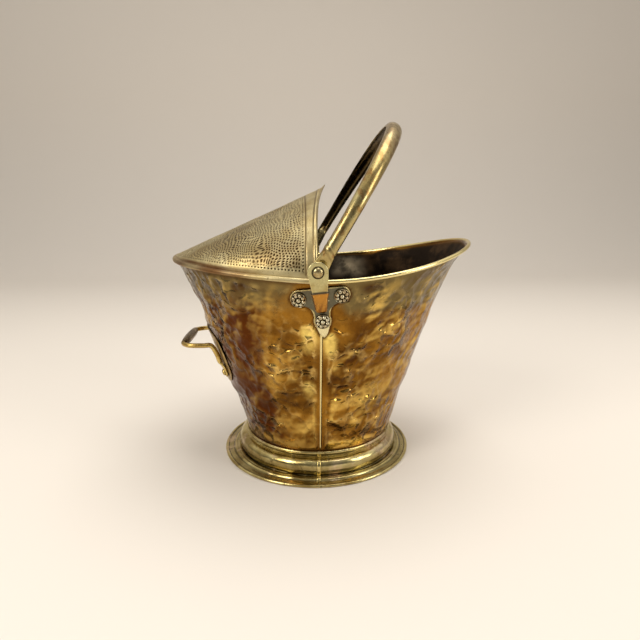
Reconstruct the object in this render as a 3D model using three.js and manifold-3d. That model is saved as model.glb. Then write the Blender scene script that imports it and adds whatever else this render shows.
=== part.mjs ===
// Brass coal scuttle of the helmet pattern: an oval, flaring body in two sheets on a round
// moulded foot, a fixed half-cone hood over its back half, a swinging carrying handle on two
// three-lobed brackets, and a small tipping handle at the back.
// Millimetres. +X points to the pouring lip, +Z up, the scuttle stands on Z = 0, and the origin
// lies on the floor below the middle of the whole length.
import * as THREE from 'three';
import { mergeVertices } from 'three/addons/utils/BufferGeometryUtils.js';
import Module from 'manifold-3d';

const wasm = await Module();
wasm.setup();

const rad = THREE.MathUtils.degToRad;

// ---- Driving dimensions -------------------------------------------------------------------

const clearance = 0.3;          // between any two pieces that touch
const sheet = 1.0;              // brass sheet of the body and hood
const smallest_detail = 0.01;   // cuts and joins leave nothing finer than this

// Rim: two half ovals, the front one longer, on a line that dips at the sides
const rim_front_length = 206;
const rim_back_length = 194;
const rim_half_width = 152;
const rim_centre_x = 2.2;
const rim_side_height = 268;
const rim_front_height = 301.3;
const rim_back_height = 282.5;
const rim_front_sweep = 1.95;   // how late the rim rises towards the lip
const rim_back_sweep = 1.15;
const rim_wire_radius = 1.2;
const rim_roll_turn = rad(280);

// Body: from a round bottom on the foot out to the rim, its walls bowed inwards
const bottom_radius = 104.5;
const bottom_x = 0.8;
const bottom_height = 38;
const bottom_flange = 9;        // turned in over the foot
const front_bow = 11;
const back_bow = 3.6;
const side_bow = 3.9;
const bow_peak = 0.65;          // of the wall's height, where the bow is deepest
const seam_turn = rad(0.4);     // the side seams lie this far ahead of the middle
const seam_lap = 8;             // tongue of the front sheet behind the back sheet
const seam_root = 7;            // its soldered root on the front sheet
const seam_root_sink = 0.8;     // of the sheet, how deep the root is let into the front sheet
const seam_low = 0.03;          // shares of the wall's height that the tongue runs between
const seam_high = 0.96;
const base_plate_thickness = 1.2;

// Foot: stepped moulding, slightly longer than it is wide
const foot_radius = 131;
const foot_oval = 5.5;
const foot_x = -2;
const foot_sheet = 1.2;
const foot_collar = 6;          // turned in under the body's flange
const foot_torus_radius = 113.6;
const foot_torus_height = 15.5;
const foot_groove_radius = 112.4;
const foot_flange_radius = 118;
const foot_flange_height = 6.6;
const foot_wire_radius = 0.9;
const foot_seam_x = -1;

// Hood
const hood_pitch = rad(23.6);
const hood_base_turn = rad(100);
const hood_hook_turn = rad(-30);
const hood_band_x = -15;        // where the punched face ends
const hood_bead_x = -5;         // bead line that starts the flared lip
const hood_bead_peak = 8.5;     // how much further forward it lies on the ridge
const hood_lip_side = 3;
const hood_lip_peak = 8;
const hood_flare_side = 1.5;
const hood_flare_peak = 3;
const hood_flare_gain = 12;     // how fast the flare grows from the rim up

// Carrying handle, drawn in its own upright plane through the pivots
const pivot_x = -2.4;
const pivot_height = 280.5;
const handle_half_width = 160.5;
const handle_rise = 196;
const handle_squareness = 2.37;
const handle_lean = rad(31.45);
const arm_width = 15;
const grip_width = 20;
const handle_inner_depth = 3.5;
const grip_inner_depth = 5.5;
const handle_outer_depth = 5;
const channel_depth = 5.5;
const channel_lip = 2;
const eye_radius = 10.5;
const eye_thickness = 3.6;
const eye_inner_face = 156.9;
const root_start = 7;
const root_full = 27;
const root_spread = 1.5;        // how much wider each side of the arm is beside the eye
const collar_place = 25.5;
const collar_bulge = 1.1;
const collar_length = 2.2;      // from the collar's crest to where it has mostly died away
const channel_run = 16;         // the channel deepens to full over this height above the collar
const channel_delay = 3;
const channel_start_depth = 0.2;
const channel_start_lip = 0.4;  // of the half width
const eye_back_power = 0.35;    // roundness of the back: nearly flat beside the eye, full above
const arm_back_power = 0.75;

// Pivot hardware
const pivot_shank_radius = 3;
const pivot_head_radius = 7;
const pivot_head_height = 4;
const pivot_peen_radius = 5;
const pivot_peen_height = 1.4;
const pivot_bore_reach = 200;   // past both lugs from the middle
const washer_radius = 8;
const washer_thickness = 0.8;

// Brackets
const bracket_lean = rad(5.5);
const bracket_thickness = 2.4;
const lug_radius = 11.5;
const lug_thickness = 4.4;
const lug_waist = 8.6;
const lug_foot_drop = 22;
const lobe_radius = 10.4;
const lobe_side = 24;
const lobe_drop = 30;
const lower_lobe_drop = 59;
const bracket_tip_drop = 81;
const bracket_waist = 9.2;
const neck_end_half_width = 4.5;
const neck_end_proud = 1.4;
const neck_top_rise = 6;        // the neck starts this far up inside the lug
const neck_lug_step = 0.8;      // its face lies this far behind the lug's face
const neck_back_step = 1.5;     // and its back this far inside the lug's back
const neck_wall_drop = 25.5;    // from here down it follows the wall
const neck_chamfer = 0.8;       // its face is this share of its width
const neck_taper = 0.6;

// Rosette-headed rivets and the burrs that they are closed over
const rosette_radius = 9;
const rosette_height = 5.5;
const rivet_shank_radius = 2.1;
const rivet_peen_radius = 3.1;
const rivet_peen_height = 1.6;
const rivet_hole_reach = 14;    // half the length of a drilled rivet hole
const burr_radius = 5;
const burr_thickness = 1.1;
const burr_dish = 0.45;         // the flat burr stands off the hollow wall by this much in its middle

// Tipping handle at the back
const back_handle_height = 167.5;
const back_handle_x = -183;
const back_handle_half_width = 47;
const back_rod_radius = 3.3;
const back_rod_bend = 9;
const grip_end_margin = 4;      // straight rod left at each end of the grip
const back_leg_top = 165;
const back_leg_bottom = 124;
const back_leg_rivet_height = 131;
const back_leg_flat_half_width = 6.2;
const back_leg_flat_half_thickness = 1.5;
const back_grip_radius = 5.9;
const back_grip_end_radius = 4.3;
const back_plate_top = 191;
const back_plate_bottom = 113;
const back_plate_half_width = 62;
const back_plate_thickness = 1.3;
const back_plate_squareness = 4;
const back_rivet_head_radius = 4.6;
const back_rivet_head_height = 2.6;

// ---- Finishes -----------------------------------------------------------------------------

const body_brass = new THREE.MeshStandardMaterial({ color: 0xa8782c, roughness: 0.28, metalness: 1 });
const foot_brass = new THREE.MeshStandardMaterial({ color: 0xb09850, roughness: 0.25, metalness: 1 });
const hood_brass = new THREE.MeshStandardMaterial({ color: 0xb09c69, roughness: 0.4, metalness: 1 });
const cast_brass = new THREE.MeshStandardMaterial({ color: 0xc8b96e, roughness: 0.25, metalness: 1 });
const dark_brass = new THREE.MeshStandardMaterial({ color: 0x6a5c3e, roughness: 0.4, metalness: 1 });
const iron = new THREE.MeshStandardMaterial({ color: 0x3c3834, roughness: 0.6, metalness: 0.9 });

// ---- Making solids ------------------------------------------------------------------------

const vec = (x, y, z) => new THREE.Vector3(x, y, z);
const mix = THREE.MathUtils.lerp;
const steps = (count, from, to) => Array.from({ length: count + 1 }, (_, i) => mix(from, to, i / count));

// Faces outwards: the enclosed volume comes out positive, or every triangle is turned round.
function facingOut(points, triangles) {
  let volume = 0;
  for (const [a, b, c] of triangles) {
    volume += points[a].dot(vec(0, 0, 0).crossVectors(points[b], points[c]));
  }
  return volume < 0 ? triangles.map(([a, b, c]) => [a, c, b]) : triangles;
}

// A geometry from points and triangles, with equal points joined and collapsed faces dropped.
function meshOf(points, triangles) {
  const index = new Map();
  const kept = [];
  const places = points.map((point) => {
    const key = point.toArray().map((value) => Math.round(value * 1e4)).join();
    if (!index.has(key)) {
      index.set(key, kept.length);
      kept.push(point);
    }
    return index.get(key);
  });
  const faces = triangles
    .map((corners) => corners.map((corner) => places[corner]))
    .filter(([a, b, c]) => a !== b && b !== c && c !== a);
  const geometry = new THREE.BufferGeometry();
  geometry.setAttribute(
    'position',
    new THREE.Float32BufferAttribute(kept.flatMap((point) => point.toArray()), 3),
  );
  geometry.setIndex(facingOut(kept, faces).flat());
  return geometry;
}

// Carries a closed ring of points along its stations. Ends are a fan about the ring's middle,
// a strip between the two faces of a sheet, joined to each other, or already shut.
function loft(rings, { ends = 'fan' } = {}) {
  const size = rings[0].length;
  const points = rings.flat();
  const triangles = [];
  const last = ends === 'joined' ? rings.length : rings.length - 1;
  for (let i = 0; i < last; i += 1) {
    const here = i * size;
    const next = ((i + 1) % rings.length) * size;
    for (let j = 0; j < size; j += 1) {
      const k = (j + 1) % size;
      triangles.push([here + j, here + k, next + k], [here + j, next + k, next + j]);
    }
  }
  const cap = (start, turned, kind) => {
    const add = (a, b, c) => triangles.push(turned ? [a, c, b] : [a, b, c]);
    if (kind === 'fan') {
      const ring = points.slice(start, start + size);
      const middle = ring.reduce((sum, point) => sum.add(point), vec(0, 0, 0)).divideScalar(size);
      points.push(middle);
      for (let j = 0; j < size; j += 1) {
        add(points.length - 1, start + ((j + 1) % size), start + j);
      }
    }
    if (kind === 'strip') {
      for (let j = 0; j < size / 2 - 1; j += 1) {
        const back = size - 1 - j;
        add(start + j, start + back, start + back - 1);
        add(start + j, start + back - 1, start + j + 1);
      }
    }
  };
  if (ends !== 'joined') {
    const [first, final] = Array.isArray(ends) ? ends : [ends, ends];
    cap(0, false, first);
    cap((rings.length - 1) * size, true, final);
  }
  return meshOf(points, triangles);
}

// A bent sheet: its middle surface, given as point and normal, thickened to both sides.
function bentSheet(grid, thickness, ends = 'strip') {
  const rings = grid.map((line) => {
    const outer = line.map(({ point, normal }) => point.clone().addScaledVector(normal, thickness / 2));
    const inner = line.map(({ point, normal }) => point.clone().addScaledVector(normal, -thickness / 2));
    return [...outer, ...inner.reverse()];
  });
  return loft(rings, { ends });
}

function solidOf(geometry) {
  let bare = geometry.clone();
  bare.deleteAttribute('normal');
  bare.deleteAttribute('uv');
  bare = mergeVertices(bare, 1e-4);
  return new wasm.Manifold(new wasm.Mesh({
    numProp: 3,
    vertProperties: new Float32Array(bare.attributes.position.array),
    triVerts: new Uint32Array(bare.index.array),
  }));
}

function geometryOf(solid) {
  const mesh = solid.simplify(smallest_detail).getMesh();
  const geometry = new THREE.BufferGeometry();
  geometry.setAttribute('position', new THREE.BufferAttribute(mesh.vertProperties, 3));
  geometry.setIndex(new THREE.BufferAttribute(mesh.triVerts, 1));
  return geometry;
}

const join = (...shapes) => geometryOf(shapes.map(solidOf).reduce((whole, shape) => whole.add(shape)));
const cut = (shape, ...tools) => geometryOf(
  tools.map(solidOf).reduce((whole, tool) => whole.subtract(tool), solidOf(shape)),
);
const common = (shape, other) => geometryOf(solidOf(shape).intersect(solidOf(other)));

// A turned shape whose profile is given as [radius, height] pairs, its axis laid along a direction.
function turned(profile, origin, axis, segments = 20) {
  const lathe = new THREE.LatheGeometry(profile.map(([r, h]) => new THREE.Vector2(r, h)), segments);
  const turn = new THREE.Quaternion().setFromUnitVectors(vec(0, 1, 0), axis.clone().normalize());
  return lathe.applyQuaternion(turn).translate(origin.x, origin.y, origin.z);
}

const drill = (origin, axis, radius, depth) => turned(
  [[0, -depth], [radius, -depth], [radius, depth], [0, depth]],
  origin,
  axis,
  10,
);

const arc = (cx, cy, radius, from, to, count) => steps(count, from, to)
  .map((angle) => [cx + radius * Math.cos(angle), cy + radius * Math.sin(angle)]);

const group = new THREE.Group();

function add(name, geometry, material) {
  geometry.computeVertexNormals();
  const mesh = new THREE.Mesh(geometry, material);
  mesh.name = name;
  group.add(mesh);
  return mesh;
}

// ---- Rim and walls ------------------------------------------------------------------------

const roll_middle_radius = rim_wire_radius + clearance + sheet / 2;
const roll_outer_radius = roll_middle_radius + sheet / 2;

// Centre of the rolled rim at a turn from the front
function rimCentre(turn) {
  const c = Math.cos(turn);
  const front = c > 0;
  const length = front ? rim_front_length : rim_back_length;
  const end_height = front ? rim_front_height : rim_back_height;
  const sweep = front ? rim_front_sweep : rim_back_sweep;
  return vec(
    rim_centre_x + length * c,
    rim_half_width * Math.sin(turn),
    mix(rim_side_height, end_height, Math.abs(c) ** sweep),
  );
}

// Level outward direction of the rim at a turn
function rimOutward(turn) {
  const length = Math.cos(turn) > 0 ? rim_front_length : rim_back_length;
  return vec(Math.cos(turn) / length, Math.sin(turn) / rim_half_width, 0).normalize();
}

function bowDepth(turn) {
  const end = Math.cos(turn) > 0 ? front_bow : back_bow;
  return mix(side_bow, end, Math.cos(turn) ** 2);
}

const bow_power = bow_peak / (1 - bow_peak);
const bow_scale = bow_peak ** bow_power * (1 - bow_peak);
const bowShare = (share) => (share ** bow_power * (1 - share)) / bow_scale;

const bottomEdge = (turn) => vec(
  bottom_x + bottom_radius * Math.cos(turn),
  bottom_radius * Math.sin(turn),
  bottom_height,
);

// The direction in which the wall meets the roll, as an angle in the upright plane of outward
function wallTopLean(turn) {
  const rise = rimCentre(turn).sub(bottomEdge(turn));
  const out = rise.dot(rimOutward(turn)) + bowDepth(turn) / bow_scale;
  return Math.atan2(rise.z, out);
}

// A point of the roll, at a turn about its own centre from the outward level
function rollPoint(turn, about, radius) {
  const normal = rimOutward(turn).multiplyScalar(Math.cos(about)).add(vec(0, 0, Math.sin(about)));
  return { point: rimCentre(turn).addScaledVector(normal, radius), normal };
}

const rollStart = (turn) => wallTopLean(turn) + Math.PI / 2;

// Middle surface of the wall, from the bottom edge at 0 to the roll at 1
function wallPoint(turn, share) {
  const top = rollPoint(turn, rollStart(turn), roll_middle_radius).point;
  const point = bottomEdge(turn).lerp(top, share);
  return point.addScaledVector(rimOutward(turn), -bowDepth(turn) * bowShare(share));
}

function wallNormal(turn, share) {
  const nudge = 1e-4;
  const low = Math.max(share - nudge, nudge / 10);
  const along = wallPoint(turn + nudge, share).sub(wallPoint(turn - nudge, share));
  const up = wallPoint(turn, share + nudge).sub(wallPoint(turn, low));
  return along.cross(up).normalize();
}

// Finds the wall's turn and share at a height and an X or Y, from a first guess
function onWall(letter, value, height, guess) {
  let turn = guess;
  let share = 0.5;
  const nudge = 1e-4;
  for (let round = 0; round < 12; round += 1) {
    const here = wallPoint(turn, share);
    const by_turn = wallPoint(turn + nudge, share).sub(here).divideScalar(nudge);
    const by_share = wallPoint(turn, share + nudge).sub(here).divideScalar(nudge);
    const miss = value - here[letter];
    const drop = height - here.z;
    const whole = by_turn[letter] * by_share.z - by_share[letter] * by_turn.z;
    turn += (miss * by_share.z - drop * by_share[letter]) / whole;
    share += (drop * by_turn[letter] - miss * by_turn.z) / whole;
  }
  return { turn, share, point: wallPoint(turn, share), normal: wallNormal(turn, share) };
}

// ---- Fixings, placed before the sheets they pass through ----------------------------------

const seam_angle = Math.PI / 2 - seam_turn;
const lap_offset = sheet + clearance;

// A place on a bracket, given to its side and down from the pivot, before it reaches the wall
const bracketPlace = (side, drop) => ({
  x: pivot_x + side * Math.cos(bracket_lean) + drop * Math.sin(bracket_lean),
  z: pivot_height + side * Math.sin(bracket_lean) - drop * Math.cos(bracket_lean),
});

const rosette_places = {
  rear: { ...bracketPlace(-lobe_side, lobe_drop), over_lap: false },
  front: { ...bracketPlace(lobe_side, lobe_drop), over_lap: false },
  lower: { ...bracketPlace(0, lower_lobe_drop), over_lap: true },
};
const sides = { near: -1, far: 1 };

const rosettes = Object.entries(sides).flatMap(([side, sign]) => (
  Object.entries(rosette_places).map(([place, { x, z, over_lap }]) => ({
    name: `${side}_${place}`,
    over_lap,
    ...onWall('x', x, z, (sign * Math.PI) / 2),
  }))
));

const back_rivets = Object.entries(sides).map(([side, sign]) => ({
  name: side,
  sign,
  ...onWall('y', sign * back_handle_half_width, back_leg_rivet_height, Math.PI - sign * 0.3),
}));

const rivetHole = ({ point, normal }, radius) => (
  drill(point, normal, radius + clearance, rivet_hole_reach)
);
const wall_holes = [...rosettes, ...back_rivets].map((place) => rivetHole(place, rivet_shank_radius));

// ---- Body ---------------------------------------------------------------------------------

const wall_shares = steps(7, 0, 1).slice(1, -1);

// One line of the body's sheet, from the turned-in bottom flange up the wall and round the roll
function bodyLine(turn) {
  const edge = bottomEdge(turn);
  const outward = vec(Math.cos(turn), Math.sin(turn), 0);
  const under = vec(0, 0, -1);
  const corner = outward.clone().add(under);
  const flange_level = edge.clone().addScaledVector(vec(0, 0, 1), sheet / 2);
  return [
    { point: flange_level.clone().addScaledVector(outward, -bottom_flange), normal: under },
    { point: flange_level.clone(), normal: corner },
    ...wall_shares.map((share) => ({ point: wallPoint(turn, share), normal: wallNormal(turn, share) })),
    ...steps(7, rollStart(turn), rollStart(turn) - rim_roll_turn).map((about) => {
      const { point, normal } = rollPoint(turn, about, roll_middle_radius);
      return { point, normal: normal.negate() };
    }),
  ];
}

// The tongue behind a side seam: soldered to the front sheet, it laps the back sheet
function seamTongue(sign) {
  const root = -seam_root / rim_half_width;
  const tip = seam_lap / rim_half_width;
  const seam_shares = steps(6, seam_low, seam_high);
  const grid = [root, root / 3, clearance / rim_half_width, tip].map((away) => {
    const turn = sign * (seam_angle + away);
    const offset = away <= root / 3 ? sheet * seam_root_sink : lap_offset;
    return seam_shares.map((share) => {
      const normal = wallNormal(turn, share);
      return { point: wallPoint(turn, share).addScaledVector(normal, -offset), normal };
    });
  });
  return bentSheet(grid, sheet);
}

// Lines of the body's sheets. The back ones are shared by the hood, so that it sits on the roll.
const turnAtX = (x) => Math.acos(Math.max((x - rim_centre_x) / rim_back_length, -1));
const seam_half_gap = clearance / 2 / rim_half_width;
const lap_turn = Math.max(seam_lap, seam_root) / rim_half_width;
const front_quarter = [...steps(8, 0, seam_angle - lap_turn), seam_angle - seam_half_gap];
const hood_turns = steps(9, Math.PI, turnAtX(hood_band_x));
const back_quarter = [...hood_turns, seam_angle + lap_turn, seam_angle + seam_half_gap];
const front_turns = [...front_quarter.map((turn) => -turn).reverse(), ...front_quarter.slice(1)];
const back_turns = [...back_quarter, ...back_quarter.map((turn) => 2 * Math.PI - turn)]
  .sort((a, b) => a - b)
  .filter((turn, index, all) => index === 0 || turn - all[index - 1] > 1e-6);

const front_sheet = bentSheet(front_turns.map(bodyLine), sheet);
const back_sheet = bentSheet(back_turns.map(bodyLine), sheet);
add('body_front_shell', cut(join(front_sheet, seamTongue(1), seamTongue(-1)), ...wall_holes), body_brass);
add('body_rear_shell', cut(back_sheet, ...wall_holes), body_brass);

// Wire inside the rolled rim
const rim_turns = [...front_turns.slice(1, -1), seam_angle, ...back_turns.slice(1, -1), -seam_angle];
const rim_wire_rings = rim_turns.map((turn) => (
  steps(6, 0, 2 * Math.PI).slice(0, -1).map((about) => rollPoint(turn, about, rim_wire_radius).point)
));
add('rim_wire', loft(rim_wire_rings, { ends: 'joined' }), iron);

// Plate that closes the bottom, laid on the body's flange
const base_plate_bottom = bottom_height + sheet + clearance;
const base_plate_radius = bottom_radius - sheet - clearance;
const base_plate_profile = [
  [0, base_plate_bottom],
  [base_plate_radius, base_plate_bottom],
  [base_plate_radius, base_plate_bottom + base_plate_thickness],
  [0, base_plate_bottom + base_plate_thickness],
];
add('base_plate', turned(base_plate_profile, vec(bottom_x, 0, 0), vec(0, 0, 1), 32), body_brass);

// ---- Foot ---------------------------------------------------------------------------------

const foot_roll_radius = foot_wire_radius + clearance + foot_sheet / 2;
const foot_roll_centre = foot_radius - foot_roll_radius - foot_sheet / 2;
// The roll is drawn in even facets, one of them lying flat on the floor
const foot_roll_facet = rad(40);
const foot_roll_height = (foot_roll_radius + foot_sheet / 2) * Math.cos(foot_roll_facet / 2);
const collar_level = bottom_height - clearance - foot_sheet / 2;
const foot_neck_radius = bottom_radius - 1.2;

// Middle line of the foot's moulding, from the collar under the body out to the rolled edge
const foot_profile = [
  [foot_neck_radius - foot_collar, collar_level],
  [bottom_radius - 0.4, collar_level],
  [bottom_radius + 1.8, collar_level - 1.5],
  [foot_neck_radius, collar_level - 4.2],
  [foot_neck_radius - 0.6, collar_level - 8],
  ...steps(6, 1, -0.55).map((share) => [
    foot_neck_radius + (foot_torus_radius - foot_neck_radius) * Math.cos((share * Math.PI) / 2) ** 0.7,
    foot_torus_height + (collar_level - 10 - foot_torus_height) * Math.sin((share * Math.PI) / 2),
  ]).slice(1),
  [foot_groove_radius, foot_flange_height - 0.2],
  [foot_flange_radius, foot_flange_height],
  [foot_flange_radius + 2, foot_flange_height - 1.2],
  ...arc(
    foot_roll_centre,
    foot_roll_height,
    foot_roll_radius,
    Math.PI / 2,
    Math.PI / 2 - 6 * foot_roll_facet,
    6,
  ),
];

const foot_profile_normals = foot_profile.map((_, index) => {
  const before = foot_profile[Math.max(index - 1, 0)];
  const after = foot_profile[Math.min(index + 1, foot_profile.length - 1)];
  return new THREE.Vector2(-(after[1] - before[1]), after[0] - before[0]).normalize();
});

// A point of the foot: a little longer than wide, the more so the further out it lies
function footPoint(turn, radius, height) {
  const share = (radius - bottom_radius) / (foot_radius - bottom_radius);
  const length = radius + foot_oval * Math.max(share, 0);
  return vec(foot_x * Math.max(share, 0) + length * Math.cos(turn), radius * Math.sin(turn), height);
}

const footLine = (turn) => foot_profile.map(([radius, height], index) => {
  const { x, y } = foot_profile_normals[index];
  return { point: footPoint(turn, radius, height), normal: vec(x * Math.cos(turn), x * Math.sin(turn), y) };
});

const foot_seam_angle = Math.acos(foot_seam_x / foot_radius);
const foot_half_gap = clearance / 2 / bottom_radius;
const foot_steps = 16;
const foot_front_turns = steps(foot_steps, -foot_seam_angle + foot_half_gap, foot_seam_angle - foot_half_gap);
const foot_back_turns = steps(
  foot_steps,
  foot_seam_angle + foot_half_gap,
  2 * Math.PI - foot_seam_angle - foot_half_gap,
);
add('foot_front_half', bentSheet(foot_front_turns.map(footLine), foot_sheet), foot_brass);
add('foot_rear_half', bentSheet(foot_back_turns.map(footLine), foot_sheet), foot_brass);

const foot_turns = [
  ...foot_front_turns.slice(1, -1),
  foot_seam_angle,
  ...foot_back_turns.slice(1, -1),
  -foot_seam_angle,
];
const foot_wire_rings = foot_turns.map((turn) => (
  steps(5, 0, 2 * Math.PI).slice(0, -1).map((about) => footPoint(
    turn,
    foot_roll_centre + foot_wire_radius * Math.cos(about),
    foot_roll_height + foot_wire_radius * Math.sin(about),
  ))
));
add('foot_edge_wire', loft(foot_wire_rings, { ends: 'joined' }), iron);

// ---- Hood ---------------------------------------------------------------------------------

const hook_radius = roll_outer_radius + clearance + sheet / 2;
const hood_tip = rollPoint(Math.PI, hood_base_turn, hook_radius).point;
const rise_power = 6;
const peak_power = 12;

// A point of the hood's middle surface at a turn of the rim. The column is an angle: below 0 and
// above 180 degrees it runs round the rim's roll, and between them over the arch.
function hoodPoint(station_turn, column, flare = 0) {
  const side = column < Math.PI / 2 ? -1 : 1;
  const turn = side * station_turn;
  const past = Math.max(-column, column - Math.PI, 0);
  if (past > 0) {
    return rollPoint(turn, hood_base_turn - past, hook_radius).point;
  }
  const base = rollPoint(turn, hood_base_turn, hook_radius).point;
  const rise = Math.tan(hood_pitch) * (base.x - hood_tip.x) + hood_tip.z - base.z;
  const half_width = Math.abs(base.y) + flare;
  return vec(base.x, -half_width * Math.cos(column), base.z + (rise + flare) * Math.sin(column));
}

// How high on the arch a column lies: 0 on the rim, 1 on the ridge
const archShare = (column) => Math.max(Math.sin(THREE.MathUtils.clamp(column, 0, Math.PI)), 0);
const beadX = (column) => hood_bead_x + hood_bead_peak * archShare(column) ** rise_power;
const lipLength = (column) => mix(hood_lip_side, hood_lip_peak, archShare(column) ** peak_power);
const flareOf = (column) => mix(hood_flare_side, hood_flare_peak, archShare(column) ** rise_power)
  * Math.min(archShare(column) * hood_flare_gain, 1);

// Stations: the punched face by even turns of the rim, then the band, the bead and the lip
const face_stations = hood_turns.length - 1;
const lip_stations = 3;
const first_normal_station = 0.4;   // the tip itself has no normal
function hoodSurface(station, column) {
  if (station <= face_stations) {
    return hoodPoint(mix(hood_turns[0], hood_turns[face_stations], station / face_stations), column);
  }
  const past = station - face_stations;
  if (past <= 1) {
    return hoodPoint(turnAtX(mix(hood_band_x, beadX(column), past)), column);
  }
  const share = (past - 1) / lip_stations;
  const x = beadX(column) + lipLength(column) * share;
  return hoodPoint(turnAtX(x), column, flareOf(column) * share ** 2);
}

function hoodNormal(station, column) {
  const nudge = 1e-3;
  const at = Math.max(station, first_normal_station);
  const within = THREE.MathUtils.clamp(column, -hook_span + nudge, Math.PI + hook_span - nudge);
  const forward = hoodSurface(at + nudge, within).sub(hoodSurface(at - nudge, within));
  const across = hoodSurface(at, within + nudge).sub(hoodSurface(at, within - nudge));
  return forward.cross(across).normalize().negate();
}

const hook_span = hood_base_turn - hood_hook_turn;
const hook_columns = steps(4, -hook_span, 0).slice(0, -1);
const hood_columns = [
  ...hook_columns,
  ...steps(16, 0, Math.PI),
  ...hook_columns.map((column) => Math.PI - column).reverse(),
];
const hood_stations = steps(face_stations + 1 + lip_stations, 0, face_stations + 1 + lip_stations);
const hood_grid = hood_stations.map((station) => hood_columns.map((column) => ({
  point: hoodSurface(station, column),
  normal: hoodNormal(station, column),
})));
// At the tip the two sides are one line, so the first ring is shut by itself: each place and its
// twin across the middle plane get the very same point and normal, and the arch is one place
const tip_ring = hood_grid[0];
const ridge_place = tip_ring[(tip_ring.length - 1) / 2];
ridge_place.point.y = 0;
ridge_place.normal.setY(0).normalize();
tip_ring.slice(0, (tip_ring.length - 1) / 2).forEach((place, index) => {
  const twin = tip_ring[tip_ring.length - 1 - index];
  const on_arch = hood_columns[index] >= 0;
  place.point.y = 0;
  place.normal.add(twin.normal).setY(0).normalize();
  if (on_arch) {
    place.point.copy(ridge_place.point);
    place.normal.copy(ridge_place.normal);
  }
  twin.point.copy(place.point);
  twin.normal.copy(place.normal);
});
add('hood', bentSheet(hood_grid, sheet, ['shut', 'strip']), hood_brass);

// ---- Brackets -----------------------------------------------------------------------------

const lug_inner_face = eye_inner_face + eye_thickness + washer_thickness + 2 * clearance;
const lug_outer_face = lug_inner_face + lug_thickness;

// Half outline of the riveted plate, to its side and down from the pivot: top, lobe, waist, tip
function plateHalfOutline() {
  const lobe = arc(lobe_side, lobe_drop, lobe_radius, rad(-100), rad(115), 10);
  const lower = arc(0, lower_lobe_drop, lobe_radius, rad(-25), rad(55), 5);
  const waist = new THREE.QuadraticBezierCurve(
    new THREE.Vector2(...lobe[lobe.length - 1]),
    new THREE.Vector2(bracket_waist, lobe_drop + 12),
    new THREE.Vector2(...lower[0]),
  ).getPoints(4).slice(1, -1).map(({ x, y }) => [x, y]);
  return [...lobe, ...waist, ...lower];
}

// Shape in the bracket's own leaning frame, extruded along the width of the scuttle
function bracketPrism(points, from, to, sign) {
  const shape = new THREE.Shape(points.map(([side, drop]) => {
    const { x, z } = bracketPlace(side, drop);
    return new THREE.Vector2(x, z);
  }));
  const prism = new THREE.ExtrudeGeometry(shape, { depth: to - from, bevelEnabled: false });
  prism.rotateX(Math.PI / 2);
  return prism.translate(0, sign < 0 ? -from : to, 0);
}

const mirrored = (half) => half.map(([side, drop]) => [-side, drop]).reverse();

// A patch of sheet that follows the wall outside it, between two turns and two shares
function wallPatch({ middle_turn, half_turn, low, high, counts }, proud, thickness) {
  const turns = steps(counts[0], middle_turn - half_turn, middle_turn + half_turn);
  const shares = steps(counts[1], low, high);
  const grid = turns.map((turn) => shares.map((share) => {
    const normal = wallNormal(turn, share);
    return { point: wallPoint(turn, share).addScaledVector(normal, proud), normal };
  }));
  return bentSheet(grid, thickness);
}

const pivotBore = (origin) => (
  drill(origin, vec(0, 1, 0), pivot_shank_radius + clearance, pivot_bore_reach)
);

// The neck runs from the lug in to the lower lobe: rings of four corners, given by their drop
function bracketNeck(sign) {
  const neck_face = lug_outer_face - neck_lug_step;
  const stations = [
    { drop: lug_foot_drop - neck_top_rise, inner: lug_inner_face },
    { drop: lug_foot_drop, inner: lug_inner_face - neck_back_step },
    ...steps(4, 0, 1).slice(1).map((share) => ({
      drop: mix(neck_wall_drop, lower_lobe_drop - lobe_radius, share),
      half: mix(lug_waist, neck_end_half_width, share ** neck_taper),
      share,
    })),
  ];
  const rings = stations.map(({ drop, inner, half = lug_waist, share = 0 }) => {
    const { x, z } = bracketPlace(0, drop);
    const wall = Math.abs(onWall('x', x, z, (sign * Math.PI) / 2).point.y);
    const near_wall = wall + sheet / 2 + clearance + bracket_thickness / 2;
    const end_face = near_wall + bracket_thickness / 2 + neck_end_proud;
    const face = mix(neck_face, end_face, share ** neck_taper);
    const back = inner ?? near_wall;
    const face_half = half * neck_chamfer;
    return [[-half, back], [half, back], [face_half, face], [-face_half, face]].map(([side, y]) => {
      const place = bracketPlace(side, drop);
      return vec(place.x, sign * y, place.z);
    });
  });
  return loft(rings);
}

function bracket(sign) {
  const half = plateHalfOutline();
  const outline = [...half, [0, bracket_tip_drop], ...mirrored(half)];
  const proud = sheet / 2 + clearance + bracket_thickness / 2;
  const patch = wallPatch({
    middle_turn: sign * seam_angle, half_turn: 0.26, low: 0.62, high: 0.975, counts: [10, 5],
  }, proud, bracket_thickness);
  const plate = common(bracketPrism(outline, 0, pivot_bore_reach, sign), patch);
  const lug = [
    [-lug_waist, lug_foot_drop],
    ...arc(0, 0, lug_radius, rad(170), rad(370), 16),
    [lug_waist, lug_foot_drop],
  ];
  const whole = join(plate, bracketNeck(sign), bracketPrism(lug, lug_inner_face, lug_outer_face, sign));
  const holes = rosettes.filter(({ point }) => point.y * sign > 0)
    .map((place) => rivetHole(place, rivet_shank_radius));
  const pivot = pivotBore(vec(pivot_x, 0, pivot_height));
  return cut(whole, ...holes, pivot);
}

add('bracket_near', bracket(sides.near), cast_brass);
add('bracket_far', bracket(sides.far), cast_brass);

// ---- Rivets -------------------------------------------------------------------------------

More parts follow.
